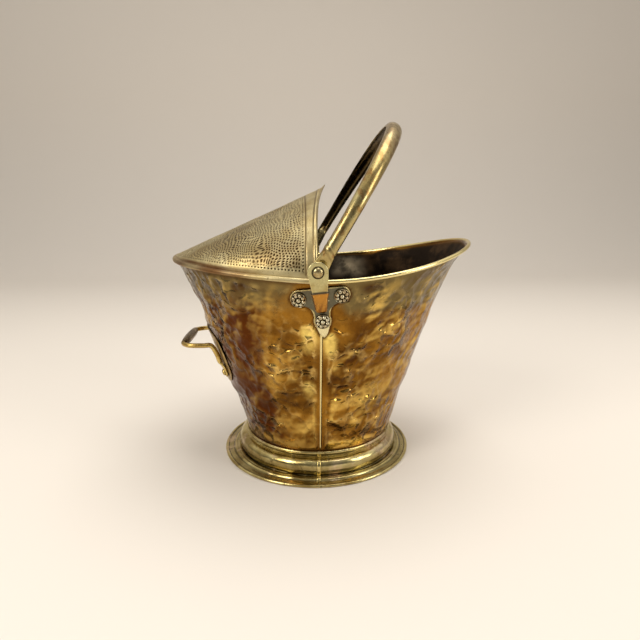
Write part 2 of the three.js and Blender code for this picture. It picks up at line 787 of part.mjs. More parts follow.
// Half-round head, shank and closed end, as [radius, height] from the head's underside outwards
function rivetProfile(head_radius, head_height, shank_radius, length, peen_radius, peen_height) {
  return [
    [0, -length - peen_height],
    [peen_radius * 0.7, -length - peen_height * 0.8],
    [peen_radius, -length],
    [shank_radius, -length],
    [shank_radius, 0],
    [head_radius, 0],
    ...steps(5, 0, Math.PI / 2).slice(1, -1)
      .map((angle) => [head_radius * Math.cos(angle), head_height * Math.sin(angle)]),
    [0, head_height],
  ];
}

const ringProfile = (inner, outer, low, high) => [
  [inner, low], [outer, low], [outer, high], [inner, high], [inner, low],
];

function fixing(name, burr_name, place, stack, depth, head, material) {
  const head_seat = sheet / 2 + stack + clearance;
  const burr_seat = sheet / 2 + depth + clearance + burr_dish;
  const length = head_seat + burr_seat + burr_thickness + clearance;
  const profile = rivetProfile(
    head.radius,
    head.height,
    rivet_shank_radius,
    length,
    rivet_peen_radius,
    rivet_peen_height,
  );
  const origin = place.point.clone().addScaledVector(place.normal, head_seat);
  add(name, turned(profile, origin, place.normal, head.segments), material);
  const burr = ringProfile(
    rivet_shank_radius + clearance,
    burr_radius,
    -burr_seat - burr_thickness,
    -burr_seat,
  );
  add(burr_name, turned(burr, place.point, place.normal, 10), cast_brass);
}

const rosette_head = { radius: rosette_radius, height: rosette_height, segments: 12 };
rosettes.forEach((place) => {
  const depth = place.over_lap ? lap_offset : 0;
  fixing(
    `rosette_rivet_${place.name}`,
    `rosette_burr_${place.name}`,
    place,
    clearance + bracket_thickness,
    depth,
    rosette_head,
    cast_brass,
  );
});

// ---- Carrying handle and its pivots -------------------------------------------------------

// The arch in its own plane: half width along Y and height above the pivots
function archPlace(angle) {
  const power = 2 / handle_squareness;
  return new THREE.Vector2(
    -handle_half_width * Math.sign(Math.cos(angle)) * Math.abs(Math.cos(angle)) ** power,
    handle_rise * Math.sin(angle) ** power,
  );
}

const smooth = (value, from, to) => THREE.MathUtils.smoothstep(value, from, to);

// Ring of the handle's section: a rounded back outwards, a channel inwards
function handleRing(angle) {
  const place = archPlace(angle);
  const nudge = 1e-3;
  const ahead = archPlace(Math.min(angle + nudge, Math.PI));
  const behind = archPlace(Math.max(angle - nudge, 0));
  const along = ahead.clone().sub(behind).normalize();
  const outward = new THREE.Vector2(-along.y, along.x);
  const grown = smooth(place.y, root_start, root_full);
  const collar = collar_bulge * Math.exp(-(((place.y - collar_place) / collar_length) ** 2));
  const grip = smooth(place.y, root_full, handle_rise);
  const half = mix(arm_width, grip_width, grip) / 2 + root_spread * (1 - grown) + collar;
  const full_inner = mix(handle_inner_depth, grip_inner_depth, grip);
  const inner = mix(handle_half_width - eye_inner_face, full_inner, grown);
  const outer = mix(eye_inner_face + eye_thickness - handle_half_width, handle_outer_depth, grown) + collar;
  const channel = mix(
    channel_start_depth,
    channel_depth,
    smooth(place.y, collar_place + channel_delay, collar_place + channel_run),
  );
  const lip = mix(
    half * channel_start_lip,
    channel_lip,
    smooth(place.y, collar_place, collar_place + channel_run),
  );
  const back = steps(7, -Math.PI / 2, Math.PI / 2).map((turn) => [
    half * Math.sin(turn),
    -inner + (inner + outer) * Math.cos(turn) ** mix(eye_back_power, arm_back_power, grown),
  ]);
  const hollow = steps(4, Math.PI / 2, -Math.PI / 2).map((turn) => [
    (half - lip) * Math.sin(turn),
    -inner + channel * Math.cos(turn),
  ]);
  return [...back, ...hollow].map(([x, out]) => vec(
    x,
    place.x + outward.x * out,
    place.y + outward.y * out,
  ));
}

const lowest_angle = Math.asin((root_start / handle_rise) ** (handle_squareness / 2));
const root_angles = [
  ...steps(3, root_start + 2, collar_place - 2 * collar_length),
  ...steps(2, collar_place - collar_length, collar_place + collar_length),
  ...steps(3, collar_place + 3 * collar_length, collar_place + 2 * channel_run),
]
  .map((height) => Math.asin((height / handle_rise) ** (handle_squareness / 2)));
const first_angle = root_angles[root_angles.length - 1];
const arch_angles = [
  lowest_angle,
  ...root_angles,
  ...steps(20, first_angle, Math.PI - first_angle).slice(1, -1),
  ...root_angles.map((angle) => Math.PI - angle).reverse(),
  Math.PI - lowest_angle,
];
const eye = (sign) => turned(
  [[0, eye_inner_face], [eye_radius, eye_inner_face], [eye_radius, eye_inner_face + eye_thickness],
    [0, eye_inner_face + eye_thickness]],
  vec(0, 0, 0),
  vec(0, sign, 0),
  20,
);
const handle = cut(join(loft(arch_angles.map(handleRing)), eye(-1), eye(1)), pivotBore(vec(0, 0, 0)));
const handle_mesh = add('bail_handle', handle, cast_brass);
handle_mesh.position.set(pivot_x, 0, pivot_height);
handle_mesh.rotation.y = handle_lean;

Object.entries(sides).forEach(([side, sign]) => {
  const axis = vec(0, sign, 0);
  const origin = vec(pivot_x, 0, pivot_height);
  const head_seat = lug_outer_face + clearance;
  const length = head_seat - eye_inner_face + clearance;
  const rivet = rivetProfile(
    pivot_head_radius,
    pivot_head_height,
    pivot_shank_radius,
    length,
    pivot_peen_radius,
    pivot_peen_height,
  ).map(([radius, height]) => [radius, height + head_seat]);
  add(`pivot_rivet_${side}`, turned(rivet, origin, axis, 16), cast_brass);
  const washer_low = eye_inner_face + eye_thickness + clearance;
  const washer = ringProfile(
    pivot_shank_radius + clearance,
    washer_radius,
    washer_low,
    washer_low + washer_thickness,
  );
  add(`pivot_washer_${side}`, turned(washer, origin, axis, 16), cast_brass);
});

// ---- Tipping handle -----------------------------------------------------------------------

const back_stack = clearance + back_plate_thickness;

// Shaped plate on the back of the body
function backPlate() {
  const middle = (back_plate_top + back_plate_bottom) / 2;
  const half_height = (back_plate_top - back_plate_bottom) / 2;
  const outline = steps(32, 0, 2 * Math.PI).slice(0, -1).map((angle) => {
    const c = Math.cos(angle);
    const s = Math.sin(angle);
    const scale = (Math.abs(c) ** back_plate_squareness + Math.abs(s) ** back_plate_squareness)
      ** (-1 / back_plate_squareness);
    return new THREE.Vector2(back_plate_half_width * c * scale, middle + half_height * s * scale);
  });
  const reach = rim_back_length;
  const prism = new THREE.ExtrudeGeometry(new THREE.Shape(outline), { depth: reach, bevelEnabled: false });
  prism.rotateX(Math.PI / 2).rotateZ(-Math.PI / 2);
  const proud = sheet / 2 + clearance + back_plate_thickness / 2;
  const patch = wallPatch({
    middle_turn: Math.PI, half_turn: 0.62, low: 0.22, high: 0.72, counts: [12, 4],
  }, proud, back_plate_thickness);
  return cut(common(patch, prism), ...back_rivets.map((place) => rivetHole(place, rivet_shank_radius)));
}
add('rear_handle_plate', backPlate(), dark_brass);

// Bent rod: up each leg on the plate, out, and across behind the body
function rodLine(sign) {
  const onLeg = (height, half_thickness) => {
    const guess = Math.PI - sign * 0.3;
    const { point, normal } = onWall('y', sign * back_handle_half_width, height, guess);
    const off = sheet / 2 + back_stack + clearance + half_thickness;
    return point.clone().addScaledVector(normal, off);
  };
  const top = onLeg(back_leg_top, back_rod_radius);
  const flat_top = back_leg_rivet_height + back_leg_flat_half_width;
  const bend_start = back_leg_top - back_rod_bend;
  return [
    onLeg(back_leg_bottom, back_leg_flat_half_thickness),
    onLeg(back_leg_rivet_height, back_leg_flat_half_thickness),
    onLeg(flat_top, back_leg_flat_half_thickness),
    onLeg(mix(flat_top, bend_start, 0.5), back_rod_radius),
    onLeg(bend_start, back_rod_radius),
    vec(top.x - back_rod_bend / 2, top.y, mix(top.z, back_handle_height, 0.9)),
    vec(mix(top.x, back_handle_x, 0.35), top.y, back_handle_height),
    vec(back_handle_x + back_rod_bend, sign * back_handle_half_width, back_handle_height),
    ...[0, grip_end_margin / 2, grip_end_margin].map((inward) => vec(
      back_handle_x,
      sign * (back_handle_half_width - back_rod_bend - inward),
      back_handle_height,
    )),
  ];
}

// Rings of the rod: flattened where the legs are riveted, round beyond. Their thickness lies
// along the wall's normal on the legs, and upright further out.
function rodRings() {
  const across = vec(back_handle_x, 0, back_handle_height);
  const line = [...rodLine(sides.near), across, ...rodLine(sides.far).reverse()];
  const curve = new THREE.CatmullRomCurve3(line, false, 'centripetal');
  const length = curve.getLength();
  const flat_length = back_leg_rivet_height - back_leg_bottom + 1.6 * back_leg_flat_half_width;
  const bend_length = flat_length + 2 * back_rod_bend;
  return steps(54, 0, 1).map((share) => {
    const point = curve.getPointAt(share);
    const along = curve.getTangentAt(share);
    const from_end = Math.min(share, 1 - share) * length;
    const round = smooth(from_end, flat_length, flat_length + back_rod_bend * 0.8);
    const { normal } = back_rivets[share < 0.5 ? 0 : 1];
    const reference = normal.clone().lerp(vec(0, 0, 1), smooth(from_end, flat_length, bend_length));
    const out = reference.addScaledVector(along, -reference.dot(along)).normalize();
    const side = out.clone().cross(along).normalize();
    const wide = mix(back_leg_flat_half_width, back_rod_radius, round);
    const thick = mix(back_leg_flat_half_thickness, back_rod_radius, round);
    return steps(8, 0, 2 * Math.PI).slice(0, -1).map((about) => point.clone()
      .addScaledVector(side, wide * Math.cos(about))
      .addScaledVector(out, thick * Math.sin(about)));
  });
}
const rod_holes = back_rivets.map((place) => rivetHole(place, rivet_shank_radius));
add('rear_handle_rod', cut(loft(rodRings()), ...rod_holes), cast_brass);

const grip_half_length = back_handle_half_width - back_rod_bend - grip_end_margin / 2;
const grip_bore = back_rod_radius + clearance;
const grip_profile = [
  [grip_bore, -grip_half_length],
  ...steps(10, -1, 1).map((share) => [
    mix(back_grip_radius, back_grip_end_radius, Math.abs(share) ** 2.5),
    share * grip_half_length,
  ]),
  [grip_bore, grip_half_length],
  [grip_bore, -grip_half_length],
];
add(
  'rear_handle_grip',
  turned(grip_profile, vec(back_handle_x, 0, back_handle_height), vec(0, 1, 0), 16),
  dark_brass,
);

const back_head = { radius: back_rivet_head_radius, height: back_rivet_head_height, segments: 10 };
back_rivets.forEach((place) => {
  const stack = back_stack + clearance + 2 * back_leg_flat_half_thickness;
  fixing(`rear_handle_rivet_${place.name}`, `rear_handle_burr_${place.name}`, place, stack, 0,
    back_head, cast_brass);
});

// ---- Origin below the middle of the whole length -------------------------------------------

const front_reach = rimCentre(0).x + roll_outer_radius;
const back_reach = rimCentre(Math.PI).x - hook_radius - sheet / 2;
group.position.x = -(front_reach + back_reach) / 2;

export default group;
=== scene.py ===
import bmesh
import bpy
import numpy as np
from mathutils import Matrix, Vector


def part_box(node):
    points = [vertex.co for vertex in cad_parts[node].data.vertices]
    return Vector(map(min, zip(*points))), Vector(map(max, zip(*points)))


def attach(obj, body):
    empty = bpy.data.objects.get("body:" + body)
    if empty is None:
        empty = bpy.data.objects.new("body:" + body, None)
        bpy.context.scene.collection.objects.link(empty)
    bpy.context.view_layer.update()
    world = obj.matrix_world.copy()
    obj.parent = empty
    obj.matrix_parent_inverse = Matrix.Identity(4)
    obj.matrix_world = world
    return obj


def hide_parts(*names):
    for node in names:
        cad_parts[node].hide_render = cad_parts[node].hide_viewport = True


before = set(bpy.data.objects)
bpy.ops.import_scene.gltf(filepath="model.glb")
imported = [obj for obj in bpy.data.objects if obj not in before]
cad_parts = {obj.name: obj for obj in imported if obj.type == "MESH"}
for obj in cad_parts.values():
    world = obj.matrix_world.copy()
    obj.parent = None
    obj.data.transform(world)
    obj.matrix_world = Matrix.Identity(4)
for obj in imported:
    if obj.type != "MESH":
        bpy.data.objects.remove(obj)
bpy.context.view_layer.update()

# ---- Body ----------------------------------------------------------------------------------
# Two sheets of brass, worked up by hand into a flaring oval bucket, lapped and soldered at the
# sides. The top edge is rolled outwards over a wire. Polished and knocked about for a century
# outside, black with coal inside. Drawn in millimetres and put into the mesh in metres.

clearance = 0.3
sheet = 1.0
drawing_shift = np.array([-7.55, 0.0, 0.0])    # from the drawing's origin to the frame's
rim_front_length, rim_back_length, rim_half_width, rim_centre_x = 206.0, 194.0, 152.0, 2.2
rim_side_height, rim_front_height, rim_back_height = 268.0, 301.3, 282.5
rim_front_sweep, rim_back_sweep = 1.95, 1.15
rim_roll_turn = np.radians(280)
roll_middle_radius = 1.2 + clearance + sheet / 2
roll_outer_radius = roll_middle_radius + sheet / 2
bottom_radius, bottom_x, bottom_height, bottom_flange = 104.5, 0.8, 38.0, 9.0
front_bow, back_bow, side_bow, bow_peak = 11.0, 3.6, 3.9, 0.65
seam_angle = np.pi / 2 - np.radians(0.4)
lap_drop = sheet + clearance
low_wall_radius, middle_wall_radius = 118.0, 130.0    # these turn an angle at a seam into a length
plate_top, plate_bottom, plate_half_width = 191.0, 113.0, 62.0
plate_middle_height, plate_half_height = (plate_top + plate_bottom) / 2, (plate_top - plate_bottom) / 2


def lerp(a, b, share):
    """Straight blend: a plus a share of the way to b."""
    return a + (b - a) * share


def unit(vectors):
    """Each vector divided by its own length."""
    return vectors / np.maximum(np.linalg.norm(vectors, axis=-1, keepdims=True), 1e-12)


def ease(value, low, high):
    """0 below low, 1 above high, and 3t^2 - 2t^3 between, t being the share of the way."""
    share = np.clip((value - low) / (high - low), 0, 1)
    return share * share * (3 - 2 * share)


def bell(value, middle, width):
    """1 at the middle, falling off on both sides as e to the minus square of the distance
    over the width."""
    return np.exp(-((value - middle) / width) ** 2)


def between(value, start, full, fading, gone):
    """0 up to the start, 1 from full to fading, and 0 again from gone on."""
    return ease(value, start, full) * (1 - ease(value, fading, gone))


def stack(*parts):
    """Puts x, y and z arrays side by side as points."""
    return np.stack(np.broadcast_arrays(*parts), -1)


def rim_centre(turn):
    """Middle of the rolled rim: two half ovals in plan, and a height that rises from the sides
    to each end with the cosine raised to that end's sweep."""
    c = np.cos(turn)
    length = np.where(c > 0, rim_front_length, rim_back_length)
    end = np.where(c > 0, rim_front_height, rim_back_height)
    sweep = np.where(c > 0, rim_front_sweep, rim_back_sweep)
    height = lerp(rim_side_height, end, np.abs(c) ** sweep)
    return stack(rim_centre_x + length * c, rim_half_width * np.sin(turn), height)


def rim_outward(turn):
    """Level outward direction of the rim's half ovals, whose slope is x/a^2, y/b^2."""
    length = np.where(np.cos(turn) > 0, rim_front_length, rim_back_length)
    return unit(stack(np.cos(turn) / length, np.sin(turn) / rim_half_width, 0 * turn))


bow_power = bow_peak / (1 - bow_peak)
bow_scale = bow_peak ** bow_power * (1 - bow_peak)


def bow_depth(turn):
    """How far the wall bows inwards: the side's depth at the sides, the end's at the ends."""
    return lerp(side_bow, np.where(np.cos(turn) > 0, front_bow, back_bow), np.cos(turn) ** 2)


def bottom_edge(turn):
    """The round bottom of the wall."""
    return stack(bottom_x + bottom_radius * np.cos(turn), bottom_radius * np.sin(turn),
                 bottom_height + 0 * turn)


def roll_point(turn, about, radius):
    """A point beside the rim's centre, at an angle from level outward towards straight up."""
    out = rim_outward(turn) * np.cos(about)[..., None]
    up = stack(0 * about, 0 * about, np.sin(about))
    return rim_centre(turn) + (out + up) * np.broadcast_to(radius, about.shape)[..., None]


def roll_start(turn):
    """The roll begins square to the wall's lean, which is the angle of its last stretch."""
    rise = rim_centre(turn) - bottom_edge(turn)
    out = np.sum(rise * rim_outward(turn), -1) + bow_depth(turn) / bow_scale
    return np.arctan2(rise[..., 2], out) + np.pi / 2


def wall_point(turn, share):
    """Middle of the wall's sheet: a straight line from the bottom edge to the roll's start,
    bowed inwards by share^p (1 - share), which is deepest at bow_peak."""
    turn, share = np.broadcast_arrays(np.asarray(turn, float), np.asarray(share, float))
    top = roll_point(turn, roll_start(turn), roll_middle_radius)
    bow = bow_depth(turn) * np.clip(share, 0, None) ** bow_power * (1 - share) / bow_scale
    return lerp(bottom_edge(turn), top, share[..., None]) - rim_outward(turn) * bow[..., None]


def wall_normal(turn, share):
    """Outward normal of the wall: its direction along the turn crossed with its direction up."""
    step = 1e-4
    turn, share = np.broadcast_arrays(np.asarray(turn, float), np.asarray(share, float))
    low = np.clip(share, step, 1 - step)
    along = wall_point(turn + step, share) - wall_point(turn - step, share)
    return unit(np.cross(along, wall_point(turn, low + step) - wall_point(turn, low - step)))


def on_wall(axis, value, height, guess):
    """Turn and share at which the wall has a height and an x (axis 0) or y (axis 1): Newton's
    rule on the two values, a few rounds from the first guess."""
    value, height = np.broadcast_arrays(np.asarray(value, float), np.asarray(height, float))
    turn, share, step = np.full(value.shape, float(guess)), np.full(value.shape, 0.5), 1e-4
    for _ in range(14):
        here = wall_point(turn, share)
        by_turn = (wall_point(turn + step, share) - here) / step
        by_share = (wall_point(turn, share + step) - here) / step
        miss, drop = value - here[..., axis], height - here[..., 2]
        whole = by_turn[..., axis] * by_share[..., 2] - by_share[..., axis] * by_turn[..., 2]
        turn = turn + (miss * by_share[..., 2] - drop * by_share[..., axis]) / whole
        share = share + (drop * by_turn[..., axis] - miss * by_turn[..., 2]) / whole
    return turn, share


random_corners = np.random.default_rng(11).uniform(-1, 1, (48, 48, 48))


def hills(points, size, seed=0.0):
    """Smooth random hills from -1 to 1: random values at the corners of cubes of this size,
    blended inside each cube by 6t^5 - 15t^4 + 10t^3 along each axis."""
    place = points / size + seed * 13.7 + 200
    cell = np.floor(place).astype(int)
    t = place - cell
    t = t * t * t * (t * (t * 6 - 15) + 10)
    total = np.zeros(place.shape[:-1])
    for corner in np.ndindex(2, 2, 2):
        weight = np.prod(np.where(np.array(corner, bool), t, 1 - t), axis=-1)
        at = (cell + corner) % 48
        total += weight * random_corners[at[..., 0], at[..., 1], at[..., 2]]
    return total


def hammered(points, size, seed=0.0):
    """Hammer marks: in each cube of this size one blow, shifted at random. The depth is 1 at
    the nearest blow and falls to 0 with the square of the distance to it."""
    place = points / size + seed * 7.1 + 200
    cell = np.floor(place).astype(int)
    nearest = np.full(place.shape[:-1], 9.0)
    for corner in np.ndindex(3, 3, 3):
        at = cell + np.array(corner) - 1
        i, j, k = (at[..., n] % 48 for n in range(3))
        centre = at + 0.5 + 0.42 * stack(random_corners[i, j, k], random_corners[j, k, i],
                                         random_corners[k, i, j])
        nearest = np.minimum(nearest, np.sum((place - centre) ** 2, -1))
    return np.clip(1 - nearest / 0.75, 0, 1)


def grid_normals(points):
    """Normals of a grid of points: the direction along its first index crossed with the one
    along its second. The tip of a cone borrows the next row's."""
    across = np.cross(np.gradient(points, axis=0), np.gradient(points, axis=1))
    weak = np.linalg.norm(across, axis=-1) < 1e-9
    if weak[0].any():
        across[0] = across[1]
    return unit(across)


def closed_sheet(middle, thickness):
    """A sheet with two faces and closed edges: half the thickness along the normals to either
    side of its middle. Each line of the grid becomes a ring that runs out on one face and back
    on the other. Returns the rings and their faces."""
    normal = grid_normals(middle)
    half = np.broadcast_to(np.asarray(thickness, float) / 2, middle.shape[:2])[..., None]
    rings = np.concatenate([middle + normal * half, (middle - normal * half)[:, ::-1]], axis=1)
    count, size = rings.shape[:2]
    faces = tube_faces(count, size)
    j = np.arange(size // 2 - 1)
    for start, flip in ((0, 1), ((count - 1) * size, -1)):
        strip = np.stack([start + j, start + size - 1 - j, start + size - 2 - j,
                          start + j + 1], 1)
        faces = np.concatenate([faces, strip[:, ::flip]])
    return rings, faces


def tube_faces(count, size, joined=False):
    """Four-sided faces between rings of points: ring i to ring i + 1, all the way round."""
    i, j = np.meshgrid(np.arange(count if joined else count - 1), np.arange(size), indexing="ij")
    n, k = (i + 1) % count, (j + 1) % size
    return np.stack([i * size + j, n * size + j, n * size + k, i * size + k], -1).reshape(-1, 4)


def sheet_values(outer, inner):
    """Values for the two faces of a closed sheet, in the order of its rings."""
    return np.concatenate([outer, inner[:, ::-1]], axis=1)


def put(name, points, faces, material, body="scuttle", stands_for=(), masks=None,
        corner=38):
    """Makes the piece: points in millimetres go into its mesh in metres in the frame's place,
    doubles are merged, faces turned outwards, and edges sharper than the corner kept sharp."""
    mesh = bpy.data.meshes.new(name)
    corners = faces if isinstance(faces, list) else faces.tolist()
    mesh.from_pydata(((points.reshape(-1, 3) + drawing_shift) * 0.001).tolist(), [], corners)
    mesh.materials.append(material)
    for label, values in (masks or {}).items():
        is_vector = values.ndim == 3 and values.shape[-1] == 3
        stored = mesh.attributes.new(label, "FLOAT_VECTOR" if is_vector else "FLOAT", "POINT").data
        stored.foreach_set("vector" if is_vector else "value", values.astype(np.float32).ravel())
    work = bmesh.new()
    work.from_mesh(mesh)
    bmesh.ops.remove_doubles(work, verts=work.verts, dist=2e-6)
    bmesh.ops.dissolve_degenerate(work, edges=work.edges, dist=2e-6)
    bmesh.ops.recalc_face_normals(work, faces=work.faces)
    work.to_mesh(mesh)
    work.free()
    return finish_piece(name, mesh, body, stands_for, corner)


def placed(name, data):
    """A new object with this data, in the scene."""
    made = bpy.data.objects.new(name, data)
    bpy.context.scene.collection.objects.link(made)
    return made


def finish_piece(name, mesh, body, stands_for, corner):
    """Shades the mesh smooth up to its corners, and hands the piece to its body."""
    mesh.polygons.foreach_set("use_smooth", np.ones(len(mesh.polygons), bool))
    mesh.set_sharp_from_angle(angle=np.radians(corner))
    made = placed(name, mesh)
    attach(made, body)
    if stands_for:
        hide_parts(*stands_for)
    return made


def node(tree, kind, sockets=None, **settings):
    """Adds a node: its settings first, then each socket, by a link or by a plain value."""
    made = tree.nodes.new(kind)
    for key, value in settings.items():
        setattr(made, key, value)
    for key, value in (sockets or {}).items():
        if isinstance(value, bpy.types.NodeSocket):
            tree.links.new(value, made.inputs[key])
        else:
            made.inputs[key].default_value = value
    return made


def mixed(tree, factor, a, b):
    """Colour a turned into b by a factor."""
    return node(tree, "ShaderNodeMix", {0: factor, 6: a, 7: b}, data_type="RGBA").outputs[2]


def spread(tree, value, low, high, to_low=0.0, to_high=1.0):
    """Stretches a value between two limits, smoothly."""
    made = node(tree, "ShaderNodeMapRange", {0: value, 1: low, 2: high, 3: to_low, 4: to_high},
                interpolation_type="SMOOTHSTEP")
    return made.outputs[0]


def math(tree, how, a, b=0.0):
    """One sum of two values."""
    return node(tree, "ShaderNodeMath", {0: a, 1: b}, operation=how).outputs[0]


def named(tree, label, output="Fac"):
    """The piece's own attribute of that name."""
    return node(tree, "ShaderNodeAttribute", attribute_name=label).outputs[output]


def srgb(red, green, blue):
    """A colour given as 0 to 255 on a screen, in the linear values that a shader takes."""
    value = np.array([red, green, blue]) / 255
    linear = np.where(value <= 0.04045, value / 12.92, ((value + 0.055) / 1.055) ** 2.4)
    return (*linear.tolist(), 1.0)


def own_place(tree):
    """The place on the piece, in metres."""
    return node(tree, "ShaderNodeTexCoord").outputs["Object"]


def noise(tree, place, scale, detail, roughness=0.5, distortion=0.0):
    """Cloudy noise at these places: first its value, then three such values as a colour."""
    return node(tree, "ShaderNodeTexNoise", {
        "Vector": place, "Scale": scale, "Detail": detail, "Roughness": roughness,
        "Distortion": distortion}).outputs


def product(tree, *values):
    """All the values multiplied together."""
    total = values[0]
    for value in values[1:]:
        total = math(tree, "MULTIPLY", total, value)
    return total


def coated(tree, colour, *coats):
    """The colour under coats laid one over the other: each is a mask and a screen colour."""
    for mask, tone in coats:
        colour = mixed(tree, mask, colour, srgb(*tone))
    return colour


def new_group(name, inputs, outputs):
    """An empty node group with these sockets: a name and a kind for each."""
    group = bpy.data.node_groups.new(name, "ShaderNodeTree")
    for side, sockets in (("INPUT", inputs), ("OUTPUT", outputs)):
        for label, kind in sockets.items():
            group.interface.new_socket(label, in_out=side, socket_type="NodeSocket" + kind)
    return group


# Old polish on brass: cloudy patches of two tones, brown tarnish where it wasn't rubbed, dark specks, and
# fine rubbing marks, with painted shade where a mask of recesses asks for it. Every brass finish here
# takes its own values.
old_polish = new_group(
    "old_polish",
    {"Bright": "Color", "Warm": "Color", "Tarnish": "Color", "Patch Scale": "Float",
     "Tarnish Amount": "Float", "Painted Shade": "Float", "Smoothest": "Float", "Roughest": "Float"},
    {"Colour": "Color", "Roughness": "Float", "Height": "Float"})
given = node(old_polish, "NodeGroupInput").outputs
place = own_place(old_polish)
clouds = noise(old_polish, place, given["Patch Scale"], 5.0, 0.62)[0]
smudges = noise(old_polish, place, product(old_polish, given["Patch Scale"], 3.7), 6.0, 0.7, 0.6)[0]
specks = noise(old_polish, place, 620.0, 2.0)[0]
rubbing = noise(old_polish, node(old_polish, "ShaderNodeMapping", {
    "Vector": place, "Scale": (1500.0, 1500.0, 90.0)}).outputs[0], 5.0, 2.0)[0]
tone = mixed(old_polish, spread(old_polish, clouds, 0.36, 0.64), given["Warm"], given["Bright"])
amount = math(old_polish, "ADD", smudges, math(old_polish, "SUBTRACT", given["Tarnish Amount"], 0.5))
stained = spread(old_polish, amount, 0.5, 0.72)
tone = mixed(old_polish, stained, tone, given["Tarnish"])
tone = mixed(old_polish, spread(old_polish, specks, 0.64, 0.74, 0.0, 0.55), tone, given["Tarnish"])
# Painted shade: darker where the mask of recesses asks for it
tone = mixed(old_polish, given["Painted Shade"], tone, srgb(34, 26, 14))
dull = math(old_polish, "MAXIMUM", spread(old_polish, smudges, 0.35, 0.75), given["Painted Shade"])
roughness = node(old_polish, "ShaderNodeMapRange", {
    0: dull, 1: 0.0, 2: 1.0, 3: given["Smoothest"], 4: given["Roughest"]}).outputs[0]
height = math(old_polish, "ADD", product(old_polish, rubbing, 0.35), product(old_polish, specks, 0.5))
node(old_polish, "NodeGroupOutput", {"Colour": tone, "Roughness": roughness, "Height": height})


def brass(name, bright, warm, tarnish, patch_scale, tarnish_amount, smooth, rough,
          painted_shade=None, concave_shade=None, tint=None, relief=0.00004, edge=None):
    """A brass finish: the old polish in these tones, with painted shade in recesses that come from an
    attribute or from the concave corners of the mesh, then the piece's own tint, then a lighter colour
    where its outward corners are rubbed. Relief is the polish's depth."""
    material = bpy.data.materials.new(name)
    material.use_nodes = True
    tree = material.node_tree
    shader = tree.nodes["Principled BSDF"]
    # Painted shade: from an attribute, or in the mesh's concave corners by its pointiness
    hollow = named(tree, painted_shade) if painted_shade else 0.0
    if concave_shade:
        point = node(tree, "ShaderNodeNewGeometry").outputs["Pointiness"]
        hollow = spread(tree, point, concave_shade[0], concave_shade[1], 1.0, 0.0)
    polish = node(tree, "ShaderNodeGroup", {
        "Bright": bright, "Warm": warm, "Tarnish": tarnish, "Patch Scale": patch_scale,
        "Tarnish Amount": tarnish_amount, "Smoothest": smooth, "Roughest": rough,
        "Painted Shade": hollow}, node_tree=old_polish)
    colour = polish.outputs["Colour"]
    if tint:
        colour = tint(tree, colour)
    if edge:
        crown = node(tree, "ShaderNodeNewGeometry").outputs["Pointiness"]
        colour = mixed(tree, spread(tree, crown, edge[0], edge[1], 0.0, 0.75), colour, edge[2])
    bump = node(tree, "ShaderNodeBump", {
        "Height": polish.outputs["Height"], "Strength": 0.5, "Distance": relief})
    tree.links.new(colour, shader.inputs["Base Color"])
    tree.links.new(polish.outputs["Roughness"], shader.inputs["Roughness"])
    tree.links.new(bump.outputs[0], shader.inputs["Normal"])
    shader.inputs["Metallic"].default_value = 1.0
    return material


marks_per_metre, mark_strength, mark_distance = 74.0, 0.85, 0.008     # the small hammer marks


def body_tint(tree, colour):
    """The body's colours over the polish: red-brown towards the back and the bottom, polished gold on
    crests with a painted gold highlight beside the seam, painted highlight and painted shade on dented
    slopes by how they face the lamp, painted shadow round the brackets and under the rim towards the
    back, olive below the front rim, soot inside. Small hammer marks, cells of bent places, are lighter on
    their crests and browner in their pits; the node named struck hands their height to the bump."""
    place = own_place(tree)
    rough_edge = noise(tree, place, 34.0, 6.0, 0.68)[0]
    bent = node(tree, "ShaderNodeVectorMath", {
        0: noise(tree, place, 38.0, 2.0)[1], 1: (0.022, 0.022, 0.022), 2: place},
        operation="MULTIPLY_ADD").outputs[0]
    hollows = node(tree, "ShaderNodeTexVoronoi", {
        "Vector": bent, "Scale": marks_per_metre, "Smoothness": 0.4, "Randomness": 1.0},
        feature="SMOOTH_F1").outputs["Distance"]
    thickly = product(tree, spread(tree, noise(tree, place, 11.0, 1.0)[0], 0.38, 0.58, 0.3, 1.0),
                      named(tree, "open_wall"))
    struck = product(tree, math(tree, "POWER", hollows, 2.0), thickly)
    struck.node.name = "struck"
    crests = product(tree, spread(tree, hollows, 0.44, 0.66), thickly,
                     spread(tree, rough_edge, 0.42, 0.58, 0.1, 1.0))
    pits = product(tree, spread(tree, hollows, 0.08, 0.3, 1.0, 0.0), thickly)
    live = product(tree, spread(tree, named(tree, "gold_polish_and_highlight"), -0.05, 0.6, 0.4, 1.0),
                   spread(tree, named(tree, "brown"), 0.1, 0.8, 1.0, 0.25))
    wander = product(tree, math(tree, "SUBTRACT", rough_edge, 0.5), 0.9)

    def broken(label, low, high):
        return spread(tree, math(tree, "ADD", named(tree, label), wander), low, high)

    # Over the tones: gold polish with its painted highlight, painted light on slopes towards the lamp
    # with polish on crests, and painted shade with tarnish in the hollows
    colour = coated(tree, colour,
                    (broken("brown", 0.1, 0.8), (88, 46, 15)),
                    (broken("olive", 0.1, 0.75), (112, 96, 60)),
                    (broken("gold_polish_and_highlight", 0.25, 1.05), (248, 218, 120)),
                    (product(tree, pits, 0.22), (84, 46, 14)),
                    (product(tree, crests, live), (250, 214, 130)),
                    (product(tree, named(tree, "lit_slope_and_polish"), 0.72), (240, 200, 104)),
                    (product(tree, named(tree, "shade_and_tarnish"), 0.85), (66, 36, 12)),
                    (named(tree, "seam_light"), (238, 222, 160)))
    burnt = mixed(tree, spread(tree, rough_edge, 0.42, 0.7), srgb(42, 33, 25), srgb(84, 64, 44))
    # Inside: a pale patch with painted highlights round two beads over the soot
    pale = product(tree, named(tree, "pale_patch_and_bead_highlights"), spread(tree, rough_edge, 0.38, 0.56, 0.3, 0.9))
    return mixed(tree, named(tree, "soot"), colour, coated(tree, burnt, (pale, (222, 204, 170))))


